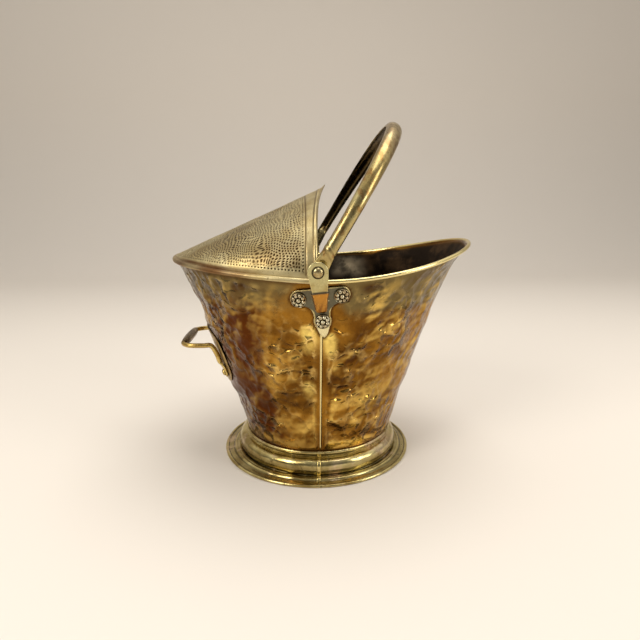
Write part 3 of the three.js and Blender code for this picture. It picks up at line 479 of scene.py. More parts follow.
body_finish = brass("body_finish", srgb(156, 110, 38), srgb(112, 74, 23), srgb(60, 36, 12),
                    16.0, 0.44, 0.12, 0.32, tint=body_tint, relief=0.0001)
body_tree = body_finish.node_tree
body_shader = body_tree.nodes["Principled BSDF"]
small_dents = node(body_tree, "ShaderNodeBump", {
    "Height": body_tree.nodes["struck"].outputs[0], "Strength": mark_strength,
    "Distance": mark_distance, "Normal": body_shader.inputs["Normal"].links[0].from_socket})
body_tree.links.new(small_dents.outputs[0], body_shader.inputs["Normal"])
sooty_roughness = math(body_tree, "MINIMUM", math(
    body_tree, "MAXIMUM", body_shader.inputs["Roughness"].links[0].from_socket,
    named(body_tree, "soot")), 0.72)
body_tree.links.new(sooty_roughness, body_shader.inputs["Roughness"])

bracket_middle_x, bracket_middle_height = 3.0, 232.0
bracket_clear_x, bracket_clear_z = 50.0, 52.0   # dents fade out this near the side brackets
plate_clear_y, plate_clear_z = 74.0, 50.0       # and this near the plate at the back


def calm(points):
    """1 on the open wall and 0 under the brackets and the back plate, where the sheet was
    dressed flat for them: each is an oval or squarish space that the dents fade around."""
    x, y, z = (points[..., n] for n in range(3))
    side = np.hypot((x - bracket_middle_x) / bracket_clear_x,
                    (z - bracket_middle_height) / bracket_clear_z)
    back = (np.abs(y / plate_clear_y) ** 4
            + np.abs((z - plate_middle_height) / plate_clear_z) ** 4) ** 0.25
    return ease(side, 0.86, 1.3) * np.where(x < 0, ease(back, 0.94, 1.25), 1)


def knocks(points, share):
    """Depth of the dents in millimetres inwards, and the part of it that small marks make: broad
    hollows, hammer marks that meet in crests, folds where hills cross zero, and upright ripples
    below the hood. The busy places come and go over the wall, and all of it fades out at the
    fixtures and at the wall's two edges."""
    x, z = points[..., 0], points[..., 2]
    broad = 1.7 * hills(points, 62, 1) + 1.3 * hills(points, 34, 2)
    busy = 0.35 + 0.65 * ease(hills(points, 70, 9), -0.3, 0.25)
    bent = points + 2.6 * stack(hills(points, 18, 14), hills(points, 18, 15), hills(points, 18, 16))
    folds = (0.55 * (1 - np.abs(hills(points, 24, 3))) ** 4
             + 0.4 * (1 - np.abs(hills(points, 12, 4))) ** 4)
    marks = 1.0 * hammered(bent, 31, 5) + busy * (
        0.8 * hammered(bent, 15, 6) + 0.42 * hammered(bent, 8, 10))
    tall = points * np.array([1, 1, 0.2])
    ripples = ease(-x, 30, 110) * ease(z, 140, 225) * (
        1.3 * hills(tall, 12, 7) + 0.8 * hills(tall, 6.5, 8))
    small = marks + busy * folds + ripples
    fade = calm(points) * ease(share, 0.0, 0.06) * ease(1 - share, 0.012, 0.09)
    return (broad + small) * fade, (small - 1.1) * fade


pivot_x, pivot_height, bracket_lean = -2.4, 280.5, np.radians(5.5)
bracket_drops = [19.6, 20.2, 24, 30, 36, 39, 40.5, 42, 45, 48, 54, 60, 64, 69, 75, 79, 82]
bracket_widths = [24, 27, 32.5, 34.4, 33.1, 30.6, 26, 16, 11.9, 10, 9.4, 10.4, 9.6, 8.4, 6.2, 4.0, 0]


def on_bracket(points):
    """Distance along and below the pivot, in the leaning bracket's own directions."""
    x, z = points[..., 0] - pivot_x, points[..., 2] - pivot_height
    c, s = np.cos(bracket_lean), np.sin(bracket_lean)
    return x * c + z * s, x * s - z * c


def place_on_bracket(along, drop):
    """The x and z of a place on the leaning bracket, from its distance along and below the pivot."""
    c, s = np.cos(bracket_lean), np.sin(bracket_lean)
    return pivot_x + along * c + drop * s, pivot_height + along * s - drop * c


def bracket_gap(points):
    """Distance beyond the bracket's outline: sideways past its half width at this drop, or above
    its top and below its tip."""
    along, drop = on_bracket(points)
    past = np.maximum(bracket_drops[0] - drop, drop - bracket_drops[-1])
    return np.maximum(np.abs(along) - np.interp(drop, bracket_drops, bracket_widths), past)


# Slopes that face this way get a painted highlight and the others painted shade, fully so where the
# normal turns by this share
lamp_side, fully_lit = np.array([-0.5, 0.0, 0.86]), 0.13
wall_shares = np.linspace(0, 1, 132)
roll_steps = np.linspace(0, 1, 25)[1:]


def wall_masks(middle, share, from_end, small, lit, seam_light):
    """Where the sheet's colours lie, from the same dents that shape it: slopes towards the lamp get a
    painted highlight and the others painted shade, crests of small dents are polished gold and hollows
    brown with tarnish, and the inside is sooty. Broad fades over x and z place a painted gold highlight
    beside the seam and on the flank's crests, brown towards the back and the bottom, olive under the rim,
    painted shadow round the brackets and under the rim towards the back, and a pale patch inside with
    painted highlights round two beads."""
    x, y, z = (middle[..., n] for n in range(3))
    wander = hills(middle, 34, 12)
    crest, hollow = ease(-small, 0.25, 1.0), ease(small, 0.3, 1.3)
    # Painted gold highlight beside the seam and on the flank, partly on polished crests
    near_seam = bell(x, 2, 34) * (ease(z, 45, 70) - 0.6 * ease(z, 110, 135)
                                  + 0.6 * ease(z, 150, 175) - ease(z, 205, 245))
    flank = between(x, 15, 45, 85, 140) * between(z, 110, 150, 215, 245)
    beside = (bell(x, -14, 13) * between(z, 100, 150, 206, 226)
              + 0.7 * bell(x, 12, 9) * between(z, 165, 185, 200, 215))
    gold_polish_and_highlight = np.clip(crest * (0.3 + 0.75 * near_seam + 0.55 * flank) + 0.35 * near_seam * (wander + 0.4)
                   + beside * (0.75 + wander), 0, 1)
    tall = hills(middle * np.array([1, 1, 0.14]), 9, 13)
    brown = ((0.95 + 0.4 * tall) * ease(-x, 38, 95) * (1 - 0.35 * ease(z, 175, 285))
             + 0.35 * (1 - ease(z, 60, 120)) + 0.2 * hollow
             + 0.5 * ease(-x, 25, 75) * (1 - ease(z, 70, 160)))
    olive = 0.9 * ease(z, 205, 248) * ease(x, 4, 40) + 0.75 * ease(z, 205, 262) * ease(-x, 2, 50) - 0.05
    gap = bracket_gap(middle)
    shadow = (1 - ease(gap, 1.0, 3.6)) * (z > 180)
    plate_gap = np.maximum(np.abs(y) - plate_half_width,
                           np.abs(z - plate_middle_height) - plate_half_height)
    open_wall = (np.where(z > 180, ease(gap, 1.5, 7), 1) * np.where(x < -50, ease(plate_gap, 0, 8), 1)
                 * ease(share, 0, 0.05) * ease(1 - share, 0.01, 0.05) * ease(from_end, 3, 8))
    # Painted shade on slopes turned from the lamp, painted shadow round the brackets and under the rim
    # towards the back, and tarnish in the dents' hollows
    shade_and_tarnish = np.clip(0.35 * hollow * (0.5 + 0.5 * ease(wander, -0.3, 0.3))
                  + 0.9 * np.clip(-lit, 0, 1) + shadow
                  + 0.7 * ease(share, 0.955, 0.985) * ease(-x, -30, 20), 0, 1)
    # Painted highlight on slopes towards the lamp, and polish on the crests
    lit_slope_and_polish = np.clip(lit, 0, 1) * (0.7 + 0.3 * ease(x, -60, 30)) + 0.25 * crest
    zero, roll_part = np.zeros(middle.shape[:2]), share >= 1
    soot = np.where(roll_part, 0.0, 1 - ease(share + 0.015 * wander, 0.968, 0.998))
    plain = np.where(roll_part, -0.5, 1.0)
    # A pale patch inside, with painted highlights in rings round two beads
    far_patch_and_bead_highlights = 0.75 * np.exp(-((x - 54) / 26) ** 4 - ((z - 249) / 15) ** 4) * (y > 0)
    for bead_x, bead_z in ((47, 252), (55, 250)):
        ring = np.hypot(x - bead_x, z - bead_z)
        far_patch_and_bead_highlights += np.where(y > 0, bell(ring, 3.2, 1.5), 0)
    return {
        "open_wall": sheet_values(open_wall * (share < 1), zero),
        "soot": sheet_values(zero, soot), "shade_and_tarnish": sheet_values(shade_and_tarnish, zero),
        "gold_polish_and_highlight": sheet_values(gold_polish_and_highlight - 0.1, 0.8 * roll_part - 0.2), "lit_slope_and_polish": sheet_values(lit_slope_and_polish, zero),
        "olive": sheet_values(olive * plain, zero - 0.4), "brown": sheet_values(brown - 0.1, zero - 0.4),
        "seam_light": sheet_values(seam_light, 0.8 * roll_part),
        "pale_patch_and_bead_highlights": sheet_values(zero, np.clip(far_patch_and_bead_highlights, 0, 1)),
    }


def body_shell(first, last, count, lower_edges):
    """The sheet's middle over turns and lines: in along the bottom flange, up the wall and round
    the roll, pressed in by the knocks, and let down at the lap where this half lies below."""
    turn = np.linspace(first, last, count)
    near_ends = np.array([0.2, 0.6, 1.2, 2.2]) / middle_wall_radius
    turn = np.unique(np.concatenate([turn, first + near_ends, last - near_ends]))
    edge = bottom_edge(turn)
    outward = stack(np.cos(turn), np.sin(turn), 0 * turn)
    flange = [edge + outward * -inward + np.array([0, 0, sheet / 2])
              for inward in (bottom_flange, 5.0, 2.2, 0.7)]
    wall = wall_point(turn[:, None], wall_shares[None, 1:])
    start = roll_start(turn)[:, None]
    about = start - rim_roll_turn * roll_steps[None]
    roll = roll_point(np.broadcast_to(turn[:, None], about.shape), about, roll_middle_radius)
    middle = np.concatenate([np.stack(flange, 1), wall, roll], axis=1)
    share = np.concatenate([np.zeros(4), wall_shares[1:], np.ones(len(roll_steps))])
    share = np.broadcast_to(share, middle.shape[:2])
    depth, small = knocks(middle, share)
    from_end = np.minimum(turn - first, last - turn)[:, None] * low_wall_radius
    on_lap = ease(share, 0.01, 0.03) * ease(1 - share, 0.02, 0.05)
    lap = -0.6 * (1 - ease(from_end, 1.0, 2.6))
    if lower_edges:
        lap = lap_drop * 0.8 * (1 - ease(from_end, 0.4, 3.2))
    smooth_normal, depth = grid_normals(middle), depth * ease(from_end, 4.4, 10.0)
    middle = middle - smooth_normal * depth[..., None]
    # How far each dented slope turns towards the lamp: this sets the painted highlight and painted shade
    lit = np.sum((grid_normals(middle) - smooth_normal) * lamp_side, -1) / fully_lit
    lively = lerp(0.45, 1.0, bell(middle[..., 0], 28, 62))
    lit *= lively * ease(from_end, 5, 13) * ease(share, 0, 0.03) * ease(1 - share, 0.0, 0.04)
    middle = middle - smooth_normal * (lap * on_lap)[..., None]
    rounded = np.sqrt(np.clip(1 - (1 - np.clip(from_end, 0, 0.5) / 0.5) ** 2, 0.05, 1))
    rings, faces = closed_sheet(middle, sheet * rounded * np.ones(middle.shape[:2]))
    seam_light = (0.0 if lower_edges else 0.9) * (1 - ease(from_end, 1.0, 1.9)) * on_lap
    return rings, faces, wall_masks(middle, share, from_end, small, lit, seam_light)


def lap_tongue(sign):
    """The strip behind a side seam: the wall's sheet, one sheet and a gap further in, from
    just ahead of the seam to behind the other half's edge."""
    turn = sign * (seam_angle + np.linspace(-2.6, 4.2, 8) / middle_wall_radius)[:, None]
    share = np.linspace(0.03, 0.96, 60)[None]
    middle = wall_point(turn, share) - wall_normal(turn, share) * (lap_drop + 0.05)
    if sign < 0:
        middle = middle[::-1]
    rings, faces = closed_sheet(middle, sheet)
    flat = np.zeros(rings.shape[:2])
    soot = flat.copy()
    soot[:, flat.shape[1] // 2:] = 1
    # The tongue lies in the lap's gap: painted shade, and brown
    return rings, faces, {"open_wall": flat, "soot": soot, "shade_and_tarnish": flat + 0.9, "gold_polish_and_highlight": flat - 0.4,
                          "lit_slope_and_polish": flat, "olive": flat - 0.4, "brown": flat + 0.6,
                          "seam_light": flat, "pale_patch_and_bead_highlights": flat}


def joined(*parts):
    """Several closed shells as one set of points, faces and masks."""
    points, faces, masks, start = [], [], {}, 0
    for rings, quads, own in parts:
        flat = rings.reshape(-1, 3)
        points.append(flat)
        faces += (quads + start).tolist()
        for label, values in own.items():
            masks.setdefault(label, []).append(values.ravel())
        start += len(flat)
    return np.concatenate(points), faces, {label: np.concatenate(v) for label, v in masks.items()}


half_gap = clearance / 2 / rim_half_width
# The roll's very front stays 0.01 mm inside the box of the frame's part
rim_reach = 1000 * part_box("body_front_shell")[1][0] - drawing_shift[0] - 0.01
front = body_shell(-seam_angle + half_gap, seam_angle - half_gap, 224, True)
points, faces, masks = joined(front, lap_tongue(1), lap_tongue(-1))
points[:, 0] = np.minimum(points[:, 0], rim_reach)
put("front_shell", points, faces, body_finish, stands_for=["body_front_shell"],
    masks=masks)
rear = body_shell(seam_angle + half_gap, 2 * np.pi - seam_angle - half_gap, 224, False)
points, faces, masks = joined(rear)
put("rear_shell", points, faces, body_finish, stands_for=["body_rear_shell"],
    masks=masks)

# The wires inside the body's and the foot's rolled edges and the round plate in the bottom keep
# the frame's own shapes: the plate is black with soot, and the wires are grey-brown.
for inner_name in ("rim_wire", "base_plate", "foot_edge_wire"):
    inner_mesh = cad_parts[inner_name].data
    inner_mesh.materials.clear()
sooty = brass("sooty", srgb(52, 44, 34), srgb(38, 32, 26), srgb(22, 19, 16), 30.0, 0.55, 0.5, 0.8)
drawn_wire = brass("drawn_wire", srgb(96, 90, 80), srgb(84, 66, 48), srgb(60, 38, 24), 90.0, 0.5,
                   0.35, 0.7)
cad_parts["base_plate"].data.materials.append(sooty)
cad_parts["rim_wire"].data.materials.append(drawn_wire)
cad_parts["foot_edge_wire"].data.materials.append(drawn_wire)

# ---- Foot ----------------------------------------------------------------------------------
# Two half rings of brass, drawn over a form into a bead, a cove, a fat roll and a stepped
# flange, whose edge is turned over a wire. The halves meet at the sides under a soldered strip.

foot_sheet = 1.2
foot_radius, foot_oval, foot_x = 131.0, 5.5, -2.0
foot_edge_radius, foot_edge_centre, foot_edge_height = 1.5, 128.9, 2.11
torus_centre, torus_height, torus_bulge, torus_half_height = 103.3, 15.5, 10.3, 11.6
foot_seam_angle = np.arccos(-1 / foot_radius)
strip_half_width, strip_height = 2.4, 1.15


def soft_line(corners, cut, steps=6):
    """A line through corners that are rounded off: each is replaced by a parabola between two
    points that lie a cut's length before and after it."""
    corners = np.asarray(corners, float)
    at, t = corners[1:-1], np.linspace(0, 1, steps)[None, :, None]

    def beside(other):
        gap = other - at
        reach = np.minimum(cut / np.linalg.norm(gap, axis=1, keepdims=True), 0.46)
        return (at + gap * reach)[:, None]

    curve = ((1 - t) ** 2 * beside(corners[:-2]) + 2 * t * (1 - t) * at[:, None]
             + t ** 2 * beside(corners[2:]))
    return np.concatenate([corners[:1], curve.reshape(-1, corners.shape[1]), corners[-1:]])


def evenly(line, spacing):
    """The same line with points at an even distance along it."""
    length = np.concatenate([[0], np.cumsum(np.linalg.norm(np.diff(line, axis=0), axis=1))])
    at = np.linspace(0, length[-1], max(int(round(length[-1] / spacing)), 2) + 1)
    return np.stack([np.interp(at, length, line[:, n]) for n in range(line.shape[1])], 1)


def foot_point(turn, radius, height):
    """A profile point set round the foot, which is a little longer than wide: the extra length
    grows with the distance beyond the body's bottom."""
    share = np.clip((radius - bottom_radius) / (foot_radius - bottom_radius), 0, None)
    return stack(foot_x * share + (radius + foot_oval * share) * np.cos(turn),
                 radius * np.sin(turn), height + 0 * turn)


swell = np.linspace(1, -0.55, 26)[1:] * np.pi / 2
torus_line = np.stack([torus_centre + torus_bulge * np.cos(swell) ** 0.7,
                       torus_height + torus_half_height * np.sin(swell)], 1)
bead_line = np.array([[97.3, 37.1], [104.0, 37.2], [105.6, 36.9], [106.4, 35.6], [105.7, 34.2],
                      [103.7, 33.2], [102.5, 31.4], [102.4, 28.8]])
edge_turn = np.radians(np.linspace(150, -150, 19))
edge_line = np.stack([foot_edge_centre + foot_edge_radius * np.cos(edge_turn),
                      foot_edge_height + foot_edge_radius * np.sin(edge_turn)], 1)
step_line = np.array([[111.9, 5.6], [113.6, 6.9], [116.2, 7.0], [117.2, 6.1], [118.0, 6.6],
                      [119.4, 6.3], [120.2, 4.9], [121.6, 3.9], [126.2, 2.7], [127.1, 2.3]])
foot_line = evenly(np.concatenate([soft_line(bead_line, 0.8), torus_line,
                                   soft_line(step_line, 0.5), edge_line]), 0.85)


def foot_half(first, last, count):
    """The profile carried round half the foot, knocked a little out of true, with half of the raised
    strip at each end. Painted shade lies in the grooves, under the bead and beside the strip, and the
    flats and the lower belly are darker in patches."""
    turn = np.linspace(first, last, count)
    near_ends = np.linspace(0, 3.4, 9)[1:] / foot_radius
    turn = np.unique(np.concatenate([turn, first + near_ends, last - near_ends]))
    radius, height = foot_line[None, :, 0], foot_line[None, :, 1]
    middle = foot_point(turn[:, None] + 0 * radius, radius + 0 * turn[:, None], height)
    from_end = np.minimum(turn - first, last - turn)[:, None] * foot_radius
    shown = ease(34.5 - height, 0, 2.5) * ease(121.5 - radius, 0, 1.2)
    strip = strip_height * (1 - ease(from_end, strip_half_width - 0.6, strip_half_width)) * shown
    fixed = ease(33 - height, 0, 8) * ease(129.5 - radius, 0, 8)
    knocked = (0.34 * hills(middle, 24, 21) + 0.22 * hills(middle, 11, 22)
               + 0.3 * hammered(middle, 16, 23)) * fixed * ease(from_end, 2.5, 9)
    normal = grid_normals(middle)
    facing = np.sign(np.sum(normal * stack(np.cos(turn), np.sin(turn), 0 * turn)[:, None], -1)
                     [:, len(foot_line) // 3])[:, None, None]
    rings, faces = closed_sheet(middle + normal * facing * (strip - knocked)[..., None], foot_sheet)
    # Painted shade in the grooves, under the bead and beside the strip; the flats and the lower belly are
    # darker in patches
    groove = (bell(radius, 111.9, 0.9) * bell(height, 6.2, 1.3) + bell(radius, 127.2, 0.7)
              + 0.8 * bell(radius, 117.2, 0.4) + 0.8 * bell(radius, 120.9, 0.7))
    under_bead = bell(radius, 103.0, 1.5) * bell(height, 31.8, 1.6)
    by_strip = bell(from_end, strip_half_width, 0.5) * shown * 0.7
    flats = between(radius, 111.5, 113, 116.2, 117) + between(radius, 120.6, 122, 125.6, 127)
    belly = ease(24 - height, 0, 16) * between(radius, 104, 109, 112.5, 114)
    tired = (0.5 + 0.35 * hills(middle, 38, 24)) * (height < 25)
    painted_shade = np.clip(groove + 0.9 * under_bead + by_strip, 0, 1)
    painted_shade = np.clip(painted_shade + (0.5 * flats + 0.35 * belly) * tired, 0, 1)
    strip = ease(strip, 0.3, 0.7) * np.ones(painted_shade.shape)
    return rings, faces, {"painted_shade": sheet_values(painted_shade, painted_shade), "strip": sheet_values(strip, strip)}


def foot_tint(tree, colour):
    """Pinkish worn patches over the foot's polish, and a pale soldered strip at the sides."""
    worn = noise(tree, own_place(tree), 17.0, 6.0, 0.7)[0]
    return coated(tree, colour, (spread(tree, worn, 0.55, 0.66, 0.0, 0.75), (216, 190, 158)),
                  (named(tree, "strip"), (222, 200, 132)))


foot_finish = brass("foot_finish", srgb(208, 192, 134), srgb(160, 138, 82), srgb(86, 70, 40),
                    24.0, 0.46, 0.14, 0.34, painted_shade="painted_shade", tint=foot_tint, relief=0.0001)
foot_gap = clearance / 2 / foot_radius
for label, first, last in (("front", -foot_seam_angle, foot_seam_angle),
                           ("rear", foot_seam_angle, 2 * np.pi - foot_seam_angle)):
    points, faces, masks = foot_half(first + foot_gap, last - foot_gap, 260)
    put(f"foot_{label}", points, faces, foot_finish, stands_for=[f"foot_{label}_half"],
        masks=masks, corner=50)

# ---- Hood ----------------------------------------------------------------------------------
# A sheet of pale brass bent into half a cone over the back of the mouth and hooked round the
# rolled rim. It is punched all over from outside with a blunt point, inside a border of single
# dots, and ends in a plain band, a bead and a flared lip.

hook_radius = roll_outer_radius + clearance + sheet / 2
hood_pitch, hood_base_turn, hook_span = np.radians(23.6), np.radians(100), np.radians(130)
band_x, bead_x, bead_peak = -15.0, -5.0, 8.5
lip_side, lip_peak, flare_side, flare_peak = 3.0, 8.0, 1.5, 3.0
punch_pitch, punch_depth = 3.7, 0.55
border_height, border_pitch = 8.0, 3.9
hood_tip = roll_point(np.array([np.pi]), np.array([hood_base_turn]), hook_radius)[0]


def hood_point(turn, column, flare):
    """Hooked part: round the rim's roll. Arch: half an ellipse over the rim's width at this
    turn, its height on the straight ridge line that rises forwards from the tip."""
    side = np.where(column < np.pi / 2, -1, 1)
    past = np.maximum(np.maximum(-column, column - np.pi), 0)
    base = roll_point(side * turn, hood_base_turn - past, hook_radius)
    rise = np.tan(hood_pitch) * (base[..., 0] - hood_tip[0]) + hood_tip[2] - base[..., 2]
    half_width = np.abs(base[..., 1]) + flare
    arch = stack(base[..., 0], -half_width * np.cos(column),
                 base[..., 2] + (rise + flare) * np.sin(column))
    return np.where((past > 0)[..., None], base, arch)


def turn_at(x):
    """The rim's turn at a distance along the scuttle."""
    return np.arccos(np.clip((x - rim_centre_x) / rim_back_length, -1, 1))


face_rows, band_rows, lip_rows = 208, 20, 20
hook_columns, arch_columns = 12, 216
hook_part = np.linspace(-hook_span, 0, hook_columns + 1)[:-1]
columns = np.concatenate([hook_part, np.linspace(0, np.pi, arch_columns + 1),
                          np.pi - hook_part[::-1]])
arch_share = np.sin(np.clip(columns, 0, np.pi))[None]
bead_line_x = bead_x + bead_peak * arch_share ** 6
row = np.arange(face_rows + band_rows + lip_rows + 1)[:, None]
face_share = np.clip(row / face_rows, 0, 1)
past_face = np.clip((row - face_rows) / band_rows, 0, 1)
past_bead = np.clip((row - face_rows - band_rows) / lip_rows, 0, 1)
row_turn = lerp(np.pi, turn_at(band_x), face_share)
row_x = lerp(band_x, bead_line_x, past_face) + lerp(lip_side, lip_peak, arch_share ** 12) * past_bead
row_turn = np.where(past_face > 0, turn_at(row_x), row_turn)
hood_flare = (lerp(flare_side, flare_peak, arch_share ** 6) * np.minimum(12 * arch_share, 1)
              * past_bead ** 2)
hood_middle = hood_point(row_turn, columns[None] + 0 * row_turn, hood_flare)
hood_middle[0, :, 1] = 0

# Distances over the surface: along the arch from the ridge, up from the rim, along the rim,
# and along the ridge from the tip
ridge = len(columns) // 2
over = np.concatenate([np.zeros((len(row_turn), 1)), np.cumsum(np.linalg.norm(
    np.diff(hood_middle, axis=1), axis=-1), axis=1)], axis=1)
from_ridge = over - over[:, ridge:ridge + 1]
from_rim = np.minimum(over - over[:, hook_columns:hook_columns + 1],
                      over[:, -hook_columns - 1:][:, :1] - over)
along_rim = np.cumsum(np.concatenate([[0], np.linalg.norm(np.diff(
    hood_middle[:, hook_columns], axis=0), axis=-1)]))[:, None] + 0 * over
along_ridge = hood_middle[..., 0] - hood_tip[0]
wander = stack(hills(hood_middle, 23, 31), hills(hood_middle, 23, 32)) * 1.5 \
    + stack(hills(hood_middle, 7, 33), hills(hood_middle, 7, 34)) * 0.44
punch_place = stack(from_ridge, along_ridge * 1.05) / punch_pitch + wander
edge_place = stack(along_rim, from_rim - border_height) / border_pitch
band_place = stack(from_ridge, (along_ridge - (band_x - hood_tip[0]) + 3.2)) / border_pitch
on_arch = ease(from_rim, 2, 4)
face_zone = (ease(from_rim, border_height + 1.2, border_height + 3.2)
             * ease(band_x - 4.4 - hood_middle[..., 0], 0, 1.6))
edge_zone = ease(band_x - 2.0 - hood_middle[..., 0], 0, 2) * on_arch
band_zone = ease(from_rim, border_height - 3, border_height) * ease(row_turn, 0, 0.1)


def punched(place, radius, staggered=True):
    """Depth share of dots in the middle of unit squares, every other row moved by half: 1 at
    the middle, falling with the square of the distance to 0 at the radius."""
    u, v = place[..., 0], place[..., 1] + (0.0 if staggered else 0.5)
    if staggered:
        u = u + 0.5 * (np.floor(v) % 2)
    from_middle = ((u - np.floor(u) - 0.5) ** 2 + (v - np.floor(v) - 0.5) ** 2) / radius ** 2
    single = True if staggered else (np.abs(place[..., 1]) < 0.5)
    return np.clip(1 - from_middle, 0, 1) * single


gap_to_line = np.abs(hood_middle[..., 0] - band_x)
incised = bell(gap_to_line, 0, 0.75) * on_arch
bead = bell(hood_middle[..., 0], bead_line_x, 1.25) * on_arch
hood_fade = ease(np.linalg.norm(hood_middle - hood_tip, axis=-1), 5, 16)
dots = np.maximum.reduce([punched(punch_place, 0.4) * face_zone,
                          punched(edge_place, 0.3, False) * edge_zone,
                          punched(band_place, 0.3, False) * band_zone]) * hood_fade
sag = (0.7 * hills(hood_middle, 60, 35) + 0.35 * hills(hood_middle, 27, 36)) * hood_fade \
    * ease(from_rim, 5, 30) * (1 - past_bead)
relief = sag + dots * punch_depth + 0.45 * incised - 0.75 * bead

hood_normal = grid_normals(hood_middle)
hood_normal[0, hook_columns:-hook_columns] = hood_normal[0, ridge]
hood_normal[0, :, 1] = 0
hood_normal = unit(hood_normal)
hood_normal *= np.sign(hood_normal[150, ridge, 2])
outer = hood_middle + hood_normal * (sheet / 2 - relief)[..., None]
inner = (hood_middle - hood_normal * (sheet / 2 + sag)[..., None])[::2, ::2]


def skin_faces(count, size, start, flip):
    """Four-sided faces of one grid of points."""
    i, j = np.meshgrid(np.arange(count - 1), np.arange(size - 1), indexing="ij")
    quads = start + np.stack([i * size + j, (i + 1) * size + j, (i + 1) * size + j + 1,
                              i * size + j + 1], -1).reshape(-1, 4)
    return quads[:, ::flip].tolist()


def hem_faces(outer_line, inner_line):
    """Five-sided faces that join an edge to one with half as many points."""
    return np.stack([outer_line[:-2:2], outer_line[1:-1:2], outer_line[2::2], inner_line[1:],
                     inner_line[:-1]], 1).tolist()


outer_index = np.arange(outer[..., 0].size).reshape(outer.shape[:2])
inner_index = outer_index.size + np.arange(inner[..., 0].size).reshape(inner.shape[:2])
hood_faces = (skin_faces(*outer.shape[:2], 0, 1) + skin_faces(*inner.shape[:2], outer_index.size, -1)
              + hem_faces(outer_index[-1], inner_index[-1])
              + hem_faces(outer_index[:, 0], inner_index[:, 0])
              + hem_faces(outer_index[:, -1], inner_index[:, -1]))


def both_skins(values, inside=0.0):
    """Values of the outer skin, and one value for the inner one."""
    values = np.broadcast_to(values, outer.shape[:2] + values.shape[2:])
    values = values.reshape(outer_index.size, -1)
    return np.concatenate([values, np.full((inner_index.size, values.shape[1]), inside)])


def flat_place(place):
    """A two-part place as the three-part vector that an attribute holds."""
    return both_skins(np.concatenate([place, 0 * place[..., :1]], axis=-1))[None]


# A punched dot's mask: the same dots as in the mesh, worked out again from the place in units
# of the pitch, so that their edges are sharp in the picture
punch_mark = new_group(
    "punch_mark", {"Place": "Vector", "Radius": "Float", "Stagger": "Float", "Single": "Float"},
    {"Mark": "Float"})
given = node(punch_mark, "NodeGroupInput").outputs
parts = node(punch_mark, "ShaderNodeSeparateXYZ", {0: given["Place"]}).outputs
row = math(punch_mark, "ADD", parts[1], product(punch_mark, given["Single"], 0.5))
odd = math(punch_mark, "FLOORED_MODULO", math(punch_mark, "FLOOR", row), 2.0)
moved = product(punch_mark, odd, 0.5, given["Stagger"])
u = math(punch_mark, "SUBTRACT", math(punch_mark, "FRACT", math(punch_mark, "ADD", parts[0], moved)), 0.5)
v = math(punch_mark, "SUBTRACT", math(punch_mark, "FRACT", row), 0.5)
distance = math(punch_mark, "SQRT", math(punch_mark, "ADD", product(punch_mark, u, u),
                                         product(punch_mark, v, v)))
inside = math(punch_mark, "SUBTRACT", 1.0, math(punch_mark, "DIVIDE", distance, given["Radius"]))
lone = math(punch_mark, "LESS_THAN", math(punch_mark, "ABSOLUTE", parts[1]), 0.5)
lone = math(punch_mark, "MAXIMUM", lone, math(punch_mark, "SUBTRACT", 1.0, given["Single"]))
node(punch_mark, "NodeGroupOutput", {
    "Mark": product(punch_mark, spread(punch_mark, inside, 0.0, 0.35), lone)})


def hood_tint(tree, colour):
    """Painted shade in every punched dot, more of it low down and towards the lip, painted shade in the
    incised line and beside the bead, darker patches low at the front, brown streaks along the hooked
    edge, and a dull inside."""
    marks = []
    for label, zone, radius, single in (("punch_place", "face_zone", 0.4, 0.0),
                                        ("edge_place", "edge_zone", 0.33, 1.0),
                                        ("band_place", "band_zone", 0.33, 1.0)):
        mark = node(tree, "ShaderNodeGroup", {
            "Place": named(tree, label, "Vector"), "Radius": radius, "Stagger": 1.0 - single,
            "Single": single}, node_tree=punch_mark)
        marks.append(product(tree, mark.outputs["Mark"], named(tree, zone)))
    dotted = math(tree, "MAXIMUM", math(tree, "MAXIMUM", marks[0], marks[1]), marks[2])
    return coated(tree, colour,
                  (product(tree, named(tree, "darker_patches"), 0.55), (120, 92, 52)),
                  (product(tree, dotted, named(tree, "dot_shade")), (58, 40, 18)),
                  (named(tree, "line"), (84, 60, 28)),
                  (named(tree, "streak"), (112, 74, 40)),
                  (named(tree, "within"), (112, 98, 72)))


hood_finish = brass("hood_finish", srgb(198, 183, 138), srgb(172, 152, 104), srgb(116, 92, 56),
                    22.0, 0.42, 0.36, 0.58, tint=hood_tint, relief=0.00005)
low_front = (1 - ease(from_rim, 10, 80)) * ease(along_ridge, 60, 150)
# Strength of the painted shade in the punched dots, more low down towards the lip
dot_shade = np.clip(0.8 + 0.3 * low_front + 0.25 * hills(hood_middle, 26, 37), 0.45, 1) * hood_fade
# Darker patches, most of them low at the front
darker_patches = np.clip(0.95 * low_front * face_zone + 0.45 * hills(hood_middle, 15, 38) * face_zone
                + 0.3 * hills(hood_middle, 8, 39), 0, 1)
streak = (between(hood_middle[..., 0], -205, -170, -105, -60) * (1 - ease(from_rim, 2, 6))
          * (0.75 + 0.5 * hills(hood_middle * np.array([0.3, 0.3, 1]), 9, 40)))
